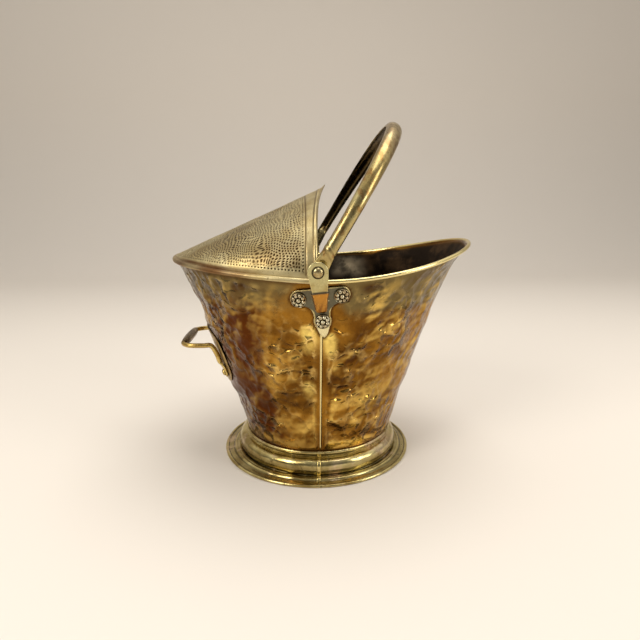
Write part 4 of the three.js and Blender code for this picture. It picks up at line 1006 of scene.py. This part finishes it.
# Painted shade in the incised line and just beside the bead
line_shade = np.clip(0.9 * bell(gap_to_line, 0, 0.9)
                  + 0.75 * bell(hood_middle[..., 0], bead_line_x - 1.7, 0.8), 0, 1) * on_arch
hood_masks = {
    "punch_place": flat_place(punch_place), "edge_place": flat_place(edge_place),
    "band_place": flat_place(band_place), "face_zone": both_skins(face_zone * hood_fade),
    "edge_zone": both_skins(edge_zone), "band_zone": both_skins(band_zone),
    "dot_shade": both_skins(dot_shade), "darker_patches": both_skins(darker_patches), "line": both_skins(line_shade),
    "streak": both_skins(np.clip(streak, 0, 1)),
    "within": both_skins(0 * dot_shade, 1.0),
}
put("hood_sheet", np.concatenate([outer.reshape(-1, 3), inner.reshape(-1, 3)]), hood_faces,
    hood_finish, stands_for=["hood"], masks=hood_masks, corner=50)

# ---- Brackets ------------------------------------------------------------------------------
# A cast brass ear at each side: a three-lobed plate bent to the wall, and a neck that stands out
# from it and carries the upright lug that the handle turns on. Riveted on through three lobes.

cast_voxel = 0.00055
solid_tip_drops, solid_tip_widths = [60, 63, 69, 81], [10.4, 9.6, 6.2, 0.4]   # of the frame's part


def softened(source, name, voxel, rounds):
    """A copy of a frame part as one even skin of small faces with its edges worn round: the
    part is merged, rebuilt on cubes of the voxel's size, and smoothed a few times."""
    mesh = source.data.copy()
    mesh.materials.clear()
    work = bmesh.new()
    work.from_mesh(mesh)
    bmesh.ops.remove_doubles(work, verts=work.verts, dist=1e-6)
    work.to_mesh(mesh)
    work.free()
    raw = placed(name + "_raw", mesh)
    skin = raw.modifiers.new("skin", "REMESH")
    skin.mode, skin.voxel_size = "VOXEL", voxel
    wear = raw.modifiers.new("wear", "SMOOTH")
    wear.factor, wear.iterations = 0.5, rounds
    bpy.context.view_layer.update()
    worn = bpy.data.meshes.new_from_object(raw.evaluated_get(bpy.context.evaluated_depsgraph_get()))
    bpy.data.objects.remove(raw)
    worn.name = name
    return worn


def mesh_points(mesh):
    """The mesh's points in millimetres from the drawing's origin."""
    flat = np.empty(len(mesh.vertices) * 3, np.float32)
    mesh.vertices.foreach_get("co", flat)
    return flat.reshape(-1, 3).astype(float) * 1000 - drawing_shift


def point_value(mesh, label, values):
    """Stores one value for each point of the mesh."""
    mesh.attributes.new(label, "FLOAT", "POINT").data.foreach_set("value", values.astype(np.float32))


def bracket_tint(tree, colour):
    """A satin lug with a lighter edge, a painted orange reflection in the neck's hollow, and dark arms
    with a line of painted shade at the step below the lug.
    """
    reflected_orange = mixed(tree, spread(tree, named(tree, "neck_reflection_fall"), 0.0, 1.0), srgb(206, 142, 52),
                 srgb(150, 88, 26))
    colour = mixed(tree, named(tree, "neck_reflection"), colour, reflected_orange)
    return coated(tree, colour, (named(tree, "dark_arm"), (76, 74, 66)),
                  (named(tree, "pale_edge"), (232, 222, 176)))


# Painted shade in the casting's concave corners, by pointiness
bracket_finish = brass("bracket_finish", srgb(210, 198, 142), srgb(186, 162, 100),
                       srgb(112, 86, 50), 34.0, 0.42, 0.26, 0.46, concave_shade=(0.40, 0.48),
                       tint=bracket_tint, relief=0.00004, edge=(0.52, 0.58, srgb(236, 228, 186)))
for side_name, side_sign in (("near", -1), ("far", 1)):
    cast = softened(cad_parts[f"bracket_{side_name}"], f"ear_{side_name}", cast_voxel, 5)
    spot = mesh_points(cast)
    along, drop = on_bracket(spot)
    out = side_sign * spot[:, 1]
    turn, share = on_wall(0, spot[:, 0], np.minimum(spot[:, 2], 262), side_sign * np.pi / 2)
    proud = out - side_sign * wall_point(turn, share)[:, 1] - 3.4
    on_neck = ease(proud, 0.2, 1.2) * between(drop, 21.5, 24, 49, 52)
    wider = lerp(1.0, lerp(1.3, 1.55, ease(drop, 24, 46)), on_neck)
    tip_wider = (np.interp(drop, bracket_drops, bracket_widths)
                 / np.interp(drop, solid_tip_drops, solid_tip_widths))
    along = along * wider * lerp(1.0, np.clip(tip_wider, 1, 3), ease(drop, 61, 66))
    spot[:, 0], spot[:, 2] = place_on_bracket(along, drop)
    cast.vertices.foreach_set("co", ((spot + drawing_shift) * 0.001).ravel().astype(np.float32))
    in_lug = ease(out, 158, 161) * (1 - ease(drop, 19.5, 21.5))
    # A line of painted shade at the step below the lug, laid in with the dark arms
    step = bell(drop, 23.2, 1.0) * (1 - ease(np.abs(along), 10, 12))
    flat_plate = ((1 - in_lug) * (1 - on_neck) * (1 - ease(drop, 64, 69))
                  * ease(-bracket_gap(spot), 0.7, 2.0))
    point_value(cast, "pale_edge", 0.85 * ease(drop, 64, 70))
    # Painted orange reflection on the neck, falling in tone down it
    point_value(cast, "neck_reflection", 0.9 * on_neck)
    point_value(cast, "neck_reflection_fall", ease(drop, 26, 50) * (0.6 + 0.4 * np.sin(along * 0.9 + drop * 0.35)))
    point_value(cast, "dark_arm", np.clip(0.9 * flat_plate + step, 0, 0.92))
    cast.materials.append(bracket_finish)
    finish_piece(f"ear_{side_name}", cast, "scuttle", [f"bracket_{side_name}"], 60)

# ---- Rosette rivets ------------------------------------------------------------------------
# Each bracket is held by three brass rivets with cast heads: a bead in a ring of eight more,
# inside a thin rim. They pass through the wall and are closed over a plain burr inside.

rivet_shank, peen_radius, peen_height = 2.1, 3.1, 1.6
burr_radius, burr_thickness, burr_dish = 5.0, 1.1, 0.45
rosette_radius, petals, rosette_columns = 9.0, 8, 96
petal_distance, petal_radius, heart_radius, ring_distance = 5.75, 2.2, 2.7, 8.35
bracket_plate_thickness = 2.4


def spun(radius, height, around, origin, axis):
    """Points at a radius from an axis, a height along it from the origin, and an angle round it."""
    axis = unit(np.asarray(axis, float))
    side = unit(np.cross(axis, [0.31, 0.05, 0.95]))
    around = around[..., None]
    return (origin + radius[..., None] * (np.cos(around) * side + np.sin(around) * np.cross(axis, side))
            + height[..., None] * axis)


def turned_on(profile, origin, axis, count=48):
    """A profile of radius and height, spun about an axis through the origin."""
    around = np.linspace(0, 2 * np.pi, count, endpoint=False)[:, None]
    radius, height = (np.asarray(profile, float)[None, :, n] for n in (0, 1))
    return spun(radius, height, around, origin, axis), tube_faces(count, len(profile), True)


def shank_line(length):
    """Below a rivet's head: in to the shank, down it, and round the peened end to the axis."""
    turn = np.linspace(0, np.pi / 2, 7)
    peen = np.stack([peen_radius * np.cos(turn), -length - peen_height * np.sin(turn)], 1)
    return np.concatenate([[[rivet_shank, 0.0], [rivet_shank, -length]], peen])


def rosette_head(radius, around):
    """Height of the cast head: a low dome, a middle bead, a ring of beads and a raised rim. Each bead is
    half a ball over the distance from its own middle. Also a mask of painted shade, full where the head
    is low between the beads."""
    x, y = radius * np.cos(around), radius * np.sin(around)
    step = 2 * np.pi / petals
    petal_turn = np.round(around / step) * step
    from_petal = np.hypot(x - petal_distance * np.cos(petal_turn),
                          y - petal_distance * np.sin(petal_turn))
    ball = np.sqrt(np.clip(1 - (from_petal / petal_radius) ** 2, 0, 1))
    heart = np.sqrt(np.clip(1 - (radius / heart_radius) ** 2, 0, 1))
    ring = bell(radius, ring_distance, 0.5)
    dome = 1.1 + 1.3 * np.sqrt(np.clip(1 - (radius / 9.4) ** 2, 0, 1))
    bumps = np.maximum.reduce([2.0 * ball, 2.9 * heart, 0.9 * ring])
    # The second value is painted shade, full where the head is low between the beads
    return dome + bumps, 1 - ease(bumps, 0.15, 0.8)


def rosette(origin, axis, length):
    """The head's polar grid over its underside, shank and peened end, as one closed form."""
    around = np.linspace(0, 2 * np.pi, rosette_columns, endpoint=False)[:, None]
    radius = np.concatenate([np.linspace(0, 8.7, 44), [8.88, 8.97]])[None]
    height, painted_shade = rosette_head(radius + 0 * around, around + 0 * radius)
    edge = np.array([[rosette_radius, 1.35], [rosette_radius, 0.25], [rosette_radius - 0.25, 0.0]])
    below = np.concatenate([edge, shank_line(length)])
    radii = np.concatenate([radius[0], below[:, 0]])[None] + 0 * around
    heights = np.concatenate([height, below[None, :, 1] + 0 * around], axis=1)
    painted_shade = np.concatenate([painted_shade, np.zeros((rosette_columns, len(below)))], axis=1)
    return (spun(radii, heights, around, origin, axis),
            tube_faces(rosette_columns, radii.shape[1], True), painted_shade)


def disc_line(inner_radius, outer_radius, low, high, softness=0.3):
    """A flat ring's section with its two outer edges worn round."""
    corners = [[inner_radius, low], [outer_radius, low], [outer_radius, high], [inner_radius, high]]
    return soft_line(corners, softness, 4)


rosette_finish = brass("rosette_finish", srgb(206, 198, 168), srgb(164, 142, 106),
                       srgb(88, 68, 46), 60.0, 0.42, 0.2, 0.4, painted_shade="painted_shade", relief=0.00003)
burr_finish = brass("burr_finish", srgb(84, 72, 52), srgb(66, 52, 34), srgb(36, 28, 20), 70.0, 0.5,
                    0.4, 0.7)
for side_name, side_sign in (("near", -1), ("far", 1)):
    for lobe, along, drop in (("rear", -24.0, 30.0), ("front", 24.0, 30.0), ("lower", 0.0, 59.0)):
        x, z = place_on_bracket(along, drop)
        turn, share = on_wall(0, x, z, side_sign * np.pi / 2)
        origin, axis = wall_point(turn, share), wall_normal(turn, share)
        lap = lap_drop if lobe == "lower" else 0.0
        head_seat = sheet / 2 + clearance + bracket_plate_thickness + clearance
        burr_seat = sheet / 2 + lap + clearance + burr_dish
        points, faces, painted_shade = rosette(origin + axis * head_seat, axis,
                                        head_seat + burr_seat + burr_thickness + clearance)
        put(f"rosette_{side_name}_{lobe}", points, faces, rosette_finish,
            stands_for=[f"rosette_rivet_{side_name}_{lobe}"],
            masks={"painted_shade": painted_shade}, corner=60)
        points, faces = turned_on(disc_line(rivet_shank + clearance, burr_radius,
                                            -burr_seat - burr_thickness, -burr_seat), origin, axis)
        put(f"burr_{side_name}_{lobe}", points, faces, burr_finish,
            stands_for=[f"rosette_burr_{side_name}_{lobe}"])

# ---- Carrying handle and its pivots --------------------------------------------------------
# One brass strip pressed into a rounded channel, hollow underneath, wider over the top where the
# hand takes it, with a collar above each flat eye. It turns on two domed rivets over washers.

handle_half_width, handle_rise, handle_squareness = 160.5, 196.0, 2.37
handle_lean = np.radians(31.45)
eye_inner, eye_thickness, eye_radius = 156.9, 3.6, 10.5
arm_width, grip_width = 15.0, 20.0
root_start, root_full, collar_place, channel_run = 7.0, 27.0, 25.5, 16.0
pivot_bore, pivot_head_seat = 3.3, 166.6
washer_radius, washer_inner, washer_outer = 8.0, 160.8, 161.6


def arch_place(angle):
    """The arch in its own plane: a squarish half oval, |y/a|^n + |z/b|^n = 1."""
    power, c = 2 / handle_squareness, np.cos(angle)
    return stack(-handle_half_width * np.sign(c) * np.abs(c) ** power,
                 handle_rise * np.clip(np.sin(angle), 0, 1) ** power)


def handle_section(angle):
    """Rings of the channel: a rounded back whose half width goes with the sine of its turn and whose
    depth with the cosine, then the hollow back again inside it. Returns them with the masks of painted
    shade in the hollow and in the collar's folds."""
    place, nudge = arch_place(angle), 1e-3
    along = unit(arch_place(np.minimum(angle + nudge, np.pi))
                 - arch_place(np.maximum(angle - nudge, 0)))
    outward = stack(-along[:, 1], along[:, 0])
    height = place[:, 1:2]
    grown, grip = ease(height, root_start, root_full), ease(height, root_full, handle_rise)
    back = np.linspace(-np.pi / 2, np.pi / 2, 31)[None]
    hollow = np.linspace(np.pi / 2, -np.pi / 2, 21)[None]
    past_collar = height + 4.2 * np.sin(back) - collar_place
    crease = (0.45 * bell(past_collar, -1.5, 2.3) + 0.25 * bell(past_collar, 4.2, 1.9)
              - 0.12 * bell(past_collar, 1.6, 0.9))
    half = lerp(arm_width, grip_width, grip) / 2 + 1.5 * (1 - grown)
    inner = lerp(handle_half_width - eye_inner, lerp(3.5, 5.5, grip), grown)
    outer = lerp(eye_inner + eye_thickness - handle_half_width, 5.0, grown)
    channel = lerp(0.2, 5.5, ease(height, collar_place + 3, collar_place + channel_run))
    lip = lerp(half * 0.4, 2.0, ease(height, collar_place, collar_place + channel_run))
    rounding = lerp(0.35, 0.75, grown)
    back_x, hollow_x = (half + crease) * np.sin(back), (half - lip) * np.sin(hollow)
    back_out = -inner + (inner + outer + crease) * np.cos(back) ** rounding
    hollow_out = -inner + channel * np.cos(hollow)
    x, out = np.concatenate([back_x, hollow_x], 1), np.concatenate([back_out, hollow_out], 1)
    wave = 0.16 * hills(stack(x, place[:, :1], height), 13, 41) * grown
    points = stack(x * (1 + 0.3 * wave / 5), place[:, :1] + outward[:, :1] * (out + wave),
                   height + outward[:, 1:] * (out + wave))
    # Painted shade in the channel, deeper where the channel is deep
    channel_shade = ease(channel, 0.8, 3.5) * lerp(0.45, 1.0, ease(np.cos(hollow), 0.05, 0.4))
    within = np.concatenate([0 * back_x, 0 * hollow_x + channel_shade], 1)
    # Painted shade in the collar's folds
    fold_shade = np.concatenate([0.6 * bell(past_collar, 1.6, 1.1) + 0.45 * bell(past_collar, -4.6, 1.4),
                           0 * hollow_x], 1)
    return points, within, fold_shade


def leaned(points):
    """From the handle's own plane to its place: turned forwards about the pivots."""
    c, s = np.cos(handle_lean), np.sin(handle_lean)
    return stack(points[..., 0] * c + points[..., 2] * s + pivot_x, points[..., 1],
                 points[..., 2] * c - points[..., 0] * s + pivot_height)


low_angle = np.arcsin((root_start / handle_rise) ** (handle_squareness / 2))
fine_angle = np.pi / 2 - np.pi / 2 * np.cos(np.linspace(0, np.pi, 6001))
fine_angle = fine_angle[(fine_angle >= low_angle) & (fine_angle <= np.pi - low_angle)]
fine_place = arch_place(fine_angle)
spacing = np.where(fine_place[:-1, 1] < 42, 0.7, 1.7)
fine_steps = np.linalg.norm(np.diff(fine_place, axis=0), axis=1) / spacing
arch_length = np.concatenate([[0], np.cumsum(fine_steps)])
arch_angle = np.interp(np.linspace(0, arch_length[-1], int(arch_length[-1]) + 1), arch_length,
                       fine_angle)
rings, within, fold_shade = handle_section(arch_angle)
rings = np.concatenate([rings[:1] * 0 + rings[0].mean(0), rings, rings[:1] * 0 + rings[-1].mean(0)])
within, fold_shade = (np.concatenate([v[:1], v, v[-1:]]) for v in (within, fold_shade))
bend = 0.9 * bell(rings[..., 2], handle_rise - 26, 22) * (rings[..., 1] < 0)
handle_parts = [(leaned(rings), tube_faces(*rings.shape[:2]),
                 {"hollow": within, "fold_shade": fold_shade, "bend": bend})]
for sign in (-1.0, 1.0):
    eye_line = disc_line(pivot_bore, eye_radius, eye_inner, eye_inner + eye_thickness, 0.6)
    eye, eye_faces = turned_on(eye_line, np.zeros(3), [0.0, sign, 0.0], 64)
    handle_parts.append((leaned(eye), eye_faces, {
        label: 0 * eye[..., 0] for label in ("hollow", "fold_shade", "bend")}))


def handle_tint(tree, colour):
    """Painted shade in the channel, nearly black where it is deep, painted shade in the collar's folds,
    and brown bands on the back, with a brown patch at the near bend."""
    stretched = node(tree, "ShaderNodeMapping", {
        "Vector": own_place(tree), "Scale": (34.0, 15.0, 15.0)}).outputs[0]
    bands = noise(tree, stretched, 5.0, 1.0)[0]
    at_bend = product(tree, named(tree, "bend"), spread(tree, bands, 0.4, 0.55, 0.5, 1.0))
    colour = coated(tree, colour, (spread(tree, bands, 0.56, 0.66, 0.0, 0.7), (150, 112, 62)),
                    (at_bend, (138, 112, 74)), (named(tree, "fold_shade"), (96, 72, 40)))
    # Painted shade in the channel, in dark brown tones
    channel_shade_tones = mixed(tree, bands, srgb(40, 33, 22), srgb(110, 90, 54))
    return mixed(tree, named(tree, "hollow"), colour, channel_shade_tones)


handle_finish = brass("handle_finish", srgb(192, 177, 124), srgb(160, 138, 86), srgb(98, 80, 50),
                      20.0, 0.44, 0.22, 0.42, tint=handle_tint, relief=0.00002)
points, faces, masks = joined(*handle_parts)
put("bail", points, faces, handle_finish, body="carrying_handle", stands_for=["bail_handle"],
    masks=masks, corner=42)

pivot_finish = brass("pivot_finish", srgb(212, 198, 148), srgb(150, 126, 82), srgb(60, 46, 30),
                     60.0, 0.44, 0.16, 0.4, painted_shade="painted_shade", relief=0.00003)
dome_turn = np.linspace(np.pi / 2, 0.12, 16)
head_line = np.concatenate([
    np.stack([5.9 * np.cos(dome_turn), 0.7 + 3.3 * np.sin(dome_turn)], 1),
    [[6.0, 0.85], [6.2, 0.6], [6.7, 0.6], [6.95, 0.4], [7.0, 0.2], [6.85, 0.0]]])
for side_name, side_sign in (("near", -1.0), ("far", 1.0)):
    axis = np.array([0.0, side_sign, 0.0])
    seat = np.array([pivot_x, side_sign * pivot_head_seat, pivot_height])
    line = np.concatenate([head_line, [[3.0, 0.0], [3.0, -10.0], [5.0, -10.0], [4.7, -10.9],
                                       [3.5, -11.3], [0.0, -11.4]]])
    line[0, 0] = 0.0
    points, faces = turned_on(line, seat, axis, 64)
    # Painted dark reflection round the dome's skirt, carried by the mask of painted shade
    ring = ease(line[:, 0], 4.4, 6.0) * (line[:, 1] > 0.1) * 0.9
    put(f"pivot_{side_name}", points, faces, pivot_finish, stands_for=[f"pivot_rivet_{side_name}"],
        masks={"painted_shade": ring[None] + np.zeros((64, 1))})
    points, faces = turned_on(disc_line(pivot_bore, washer_radius, washer_inner, washer_outer, 0.2),
                              np.array([pivot_x, 0, pivot_height]), axis, 64)
    put(f"washer_{side_name}", points, faces, burr_finish,
        stands_for=[f"pivot_washer_{side_name}"])

# ---- Tipping handle ------------------------------------------------------------------------
# A brass rod bent out from the back of the body, its two legs hammered flat and riveted through
# a squarish plate, with a turned and swollen brass grip, brown from the hand, threaded on it.

plate_thickness = 1.3
leg_y, rod_radius, rod_bend = 47.0, 3.3, 9.0
leg_top, leg_bottom, leg_rivet_z = 165.0, 124.0, 131.0
flat_half_width, flat_half_thickness = 6.2, 1.5
grip_x, grip_z = -183.0, 167.5

corner = np.linspace(-1, 1, 73)
u, v = corner[:, None] + 0 * corner[None], corner[None] + 0 * corner[:, None]
reach = np.maximum(np.abs(u), np.abs(v)) / np.maximum((u ** 4 + v ** 4) ** 0.25, 1e-9)
turn, share = on_wall(1, plate_half_width * u * reach,
                      plate_middle_height + plate_half_height * v * reach, np.pi)
outermost = np.maximum(np.abs(u), np.abs(v))
proud = sheet / 2 + clearance + plate_thickness / 2
plate_middle = wall_point(turn, share) + wall_normal(turn, share) * proud
thin = lerp(1.0, 0.35, ease(outermost, 0.965, 1.0))
rings, faces = closed_sheet(plate_middle, plate_thickness * thin)
# A line of painted shade near the plate's edge
groove = bell(outermost, 0.93, 0.016)
plate_finish = brass("plate_finish", srgb(190, 166, 104), srgb(148, 116, 62), srgb(78, 56, 32), 26.0,
                     0.5, 0.3, 0.55, painted_shade="painted_shade", relief=0.00006)
put("back_plate", rings, faces, plate_finish, stands_for=["rear_handle_plate"],
    masks={"painted_shade": sheet_values(0.6 * groove, 0.6 * groove)})


def smooth_path(points, count):
    """A curve through all the points: between each two, the cubic whose slopes there lead from
    the point before to the point after, with the lengths between points as its measure."""
    points = np.asarray(points, float)
    knots = np.concatenate([[0], np.cumsum(np.linalg.norm(np.diff(points, axis=0), axis=1) ** 0.5)])
    slope = np.gradient(points, knots, axis=0)
    at = np.linspace(0, knots[-1], 4000)
    index = np.clip(np.searchsorted(knots, at, side="right") - 1, 0, len(knots) - 2)
    width = (knots[index + 1] - knots[index])[:, None]
    t = (at - knots[index])[:, None] / width
    curve = ((2 * t ** 3 - 3 * t ** 2 + 1) * points[index]
             + (t ** 3 - 2 * t ** 2 + t) * width * slope[index]
             + (3 * t ** 2 - 2 * t ** 3) * points[index + 1]
             + (t ** 3 - t ** 2) * width * slope[index + 1])
    return evenly(curve, np.linalg.norm(np.diff(curve, axis=0), axis=1).sum() / count)


def leg_point(sign, height, off):
    """A point of a leg, at a distance out from the plate, and the wall's normal there."""
    turn, share = on_wall(1, sign * leg_y, height, np.pi - sign * 0.3)
    base = sheet / 2 + 2 * clearance + plate_thickness
    normal = wall_normal(turn, share)
    return wall_point(turn, share) + normal * (base + off), normal


def leg_line(sign):
    """From the foot of a leg up the plate, out round the bend and in to the grip."""
    flat_top, bend_start = leg_rivet_z + flat_half_width, leg_top - rod_bend
    flat = [leg_point(sign, z, flat_half_thickness)[0] for z in (leg_bottom, leg_rivet_z, flat_top)]
    half_way = leg_point(sign, lerp(flat_top, bend_start, 0.5), rod_radius)[0]
    bend = leg_point(sign, bend_start, rod_radius)[0]
    top = leg_point(sign, leg_top, rod_radius)[0]
    return np.array(flat + [
        half_way, bend, [top[0] - rod_bend / 2, top[1], lerp(top[2], grip_z, 0.9)],
        [lerp(top[0], grip_x, 0.35), top[1], grip_z],
        [grip_x + rod_bend, sign * leg_y, grip_z],
        [grip_x, sign * (leg_y - rod_bend), grip_z], [grip_x, sign * (leg_y - rod_bend - 2), grip_z],
        [grip_x, sign * (leg_y - rod_bend - 4), grip_z]])


path = smooth_path(np.concatenate([leg_line(-1.0), [[grip_x, 0, grip_z]], leg_line(1.0)[::-1]]), 300)
along = unit(np.gradient(path, axis=0))
from_end = np.concatenate([[0], np.cumsum(np.linalg.norm(np.diff(path, axis=0), axis=1))])
from_end = np.minimum(from_end, from_end[-1] - from_end)[:, None]
round_share = ease(from_end, 17, 24.5)
wall_out = np.where(np.arange(len(path))[:, None] < len(path) // 2,
                    leg_point(-1.0, leg_rivet_z, 0)[1], leg_point(1.0, leg_rivet_z, 0)[1])
reference = lerp(wall_out, np.array([0, 0, 1.0]), ease(from_end, 17, 35))
out = unit(reference - along * np.sum(reference * along, -1, keepdims=True))
about = np.linspace(0, 2 * np.pi, 28, endpoint=False)[None]
tip = np.sqrt(np.clip(1 - (1 - np.clip(from_end / 5.0, 0, 1)) ** 2, 0.02, 1))
wide = lerp(flat_half_width, rod_radius, round_share) * tip
thick = lerp(flat_half_thickness, rod_radius, round_share) * lerp(0.75, 1.0, tip)
square = lerp(0.55, 1.0, round_share)
sideways = wide * np.sign(np.cos(about)) * np.abs(np.cos(about)) ** square
outwards = thick * np.sign(np.sin(about)) * np.abs(np.sin(about)) ** square
rings = (path[:, None] + np.cross(out, along)[:, None] * sideways[..., None]
         + out[:, None] * outwards[..., None])
rings = np.concatenate([rings[:1] * 0 + path[0], rings, rings[:1] * 0 + path[-1]])
# Painted shade in the rod's concave corners, by pointiness
rod_finish = brass("rod_finish", srgb(212, 188, 118), srgb(170, 138, 72), srgb(96, 72, 38), 30.0,
                   0.42, 0.18, 0.4, concave_shade=(0.38, 0.46), relief=0.00005)
put("tipping_rod", rings, tube_faces(*rings.shape[:2]), rod_finish,
    stands_for=["rear_handle_rod"])

grip_half_length = 36.0
span = np.linspace(-1, 1, 121)
grip_bore, grip_end_radius = rod_radius + clearance, 3.9
girth = (lerp(5.9, 4.3, np.abs(span) ** 2.5) - 0.35 * bell(np.abs(span), 0.9, 0.012)
         - 0.3 * bell(np.abs(span), 0.84, 0.012))
grip_line = np.concatenate([
    [[grip_bore, -grip_half_length], [grip_end_radius, -grip_half_length]],
    np.stack([girth, span * (grip_half_length - 0.4)], 1),
    [[grip_end_radius, grip_half_length], [grip_bore, grip_half_length]]])
points, faces = turned_on(grip_line, np.array([grip_x, 0, grip_z]), [0, 1.0, 0], 56)
# Painted shade in the grip's concave corners, by pointiness
grip_finish = brass("grip_finish", srgb(140, 120, 84), srgb(104, 84, 56), srgb(58, 44, 32), 40.0,
                    0.5, 0.26, 0.5, concave_shade=(0.42, 0.48), relief=0.00006)
put("tipping_grip", points, faces, grip_finish, stands_for=["rear_handle_grip"])

back_turn = np.linspace(np.pi / 2, 0, 14)
for side_name, side_sign in (("near", -1.0), ("far", 1.0)):
    turn, share = on_wall(1, side_sign * leg_y, leg_rivet_z, np.pi - side_sign * 0.3)
    origin, axis = wall_point(turn, share), wall_normal(turn, share)
    head_seat = sheet / 2 + 3 * clearance + plate_thickness + 2 * flat_half_thickness
    burr_seat = sheet / 2 + clearance + burr_dish
    dome = np.stack([4.6 * np.cos(back_turn), 2.6 * np.sin(back_turn)], 1)
    dome[0, 0] = 0.0
    line = np.concatenate([dome, shank_line(head_seat + burr_seat + burr_thickness + clearance)])
    points, faces = turned_on(line, origin + axis * head_seat, axis)
    put(f"back_rivet_{side_name}", points, faces, rod_finish,
        stands_for=[f"rear_handle_rivet_{side_name}"])
    points, faces = turned_on(disc_line(rivet_shank + clearance, burr_radius,
                                        -burr_seat - burr_thickness, -burr_seat), origin, axis)
    put(f"back_burr_{side_name}", points, faces, burr_finish,
        stands_for=[f"rear_handle_burr_{side_name}"])

# ---- Floor, light and camera ---------------------------------------------------------------
# A plain warm white floor that curves up into a backdrop, and three soft lamps. The world is
# pale at the horizon and overhead and darker between, most of all behind the camera. The
# camera's lens, place and turn were worked out from points of the object in the photograph.


def sweep_profile(depth, reach, radius, height):
    """Floor to wall in one line: level, then a quarter circle, then upright."""
    quarter = np.linspace(0, np.pi / 2, 24)
    return np.concatenate([[[-reach, 0.0]], np.stack([
        depth - radius + radius * np.sin(quarter), radius - radius * np.cos(quarter)], 1),
        [[depth, height]]])


line = sweep_profile(depth=2.6, reach=4.0, radius=1.0, height=3.2)
across = np.array([-5.0, 5.0])
studio_points = np.stack(np.broadcast_arrays(across[:, None], line[None, :, 0], line[None, :, 1]), -1)
studio_mesh = bpy.data.meshes.new("studio")
studio_mesh.from_pydata(studio_points.reshape(-1, 3).tolist(), [], tube_faces(2, len(line))[
    np.arange(len(line)) < len(line) - 1].tolist())
studio = placed("studio", studio_mesh)
studio_mesh.polygons.foreach_set("use_smooth", np.ones(len(studio_mesh.polygons), bool))
paper = bpy.data.materials.new("studio_paper")
paper.use_nodes = True
paper_shader = paper.node_tree.nodes["Principled BSDF"]
paper_shader.inputs["Base Color"].default_value = srgb(224, 216, 205)
paper_shader.inputs["Roughness"].default_value = 0.9
paper_shader.inputs["Specular IOR Level"].default_value = 0.1
studio_mesh.materials.append(paper)

world = bpy.data.worlds.new("room")
bpy.context.scene.world = world
world.use_nodes = True
sky = world.node_tree
way = node(sky, "ShaderNodeSeparateXYZ", {0: node(sky, "ShaderNodeTexCoord").outputs["Generated"]})
level = spread(sky, way.outputs[2], -0.1, 0.8, 0.2, 1.0)
behind = spread(sky, way.outputs[1], -0.8, 0.35, 0.32, 1.0)
floor_glow = spread(sky, way.outputs[2], 0.03, 0.2, 0.7, 0.0)
strength = math(sky, "MAXIMUM", math(sky, "MULTIPLY", level, behind), floor_glow)
sky.links.new(strength, sky.nodes["Background"].inputs["Strength"])
sky.nodes["Background"].inputs["Color"].default_value = (1.0, 0.97, 0.93, 1.0)


def soft_lamp(name, place, target, size, power, colour):
    """An area lamp turned from its place towards a point."""
    lamp = bpy.data.lights.new(name, "AREA")
    lamp.shape, lamp.size, lamp.size_y = "RECTANGLE", *size
    lamp.energy, lamp.color = power, colour
    made = placed(name, lamp)
    made.location = place
    made.rotation_euler = (Vector(target) - Vector(place)).to_track_quat("-Z", "Y").to_euler()


soft_lamp("window", (-1.5, -1.3, 1.5), (0, 0, 0.2), (0.9, 1.1), 26.0, (1.0, 0.97, 0.92))
soft_lamp("ceiling", (0.3, 0.1, 2.1), (0, 0, 0.2), (1.6, 1.2), 22.0, (1.0, 0.97, 0.94))
soft_lamp("fill", (1.7, -0.9, 0.9), (0, 0, 0.2), (0.6, 1.1), 12.0, (1.0, 0.97, 0.93))

camera_data = bpy.data.cameras.new("camera")
camera_data.lens, camera_data.sensor_width = 27.58, 36.0
camera = placed("camera", camera_data)
aside, downward, tilt = -0.030, 0.233, -0.006      # radians
camera_place = (-0.02375, -0.688, 0.3525)
right = np.array([np.cos(aside), np.sin(aside), 0.0])
ahead = np.array([-np.sin(aside) * np.cos(downward), np.cos(aside) * np.cos(downward),
                  -np.sin(downward)])
above = np.cross(right, ahead)
turned = np.eye(4)
turned[:3, 0] = np.cos(tilt) * right + np.sin(tilt) * above
turned[:3, 1] = -np.sin(tilt) * right + np.cos(tilt) * above
turned[:3, 2] = -ahead
turned[:3, 3] = camera_place
camera.matrix_world = Matrix(turned.tolist())
bpy.context.scene.camera = camera
bpy.context.scene.view_settings.view_transform = "Standard"
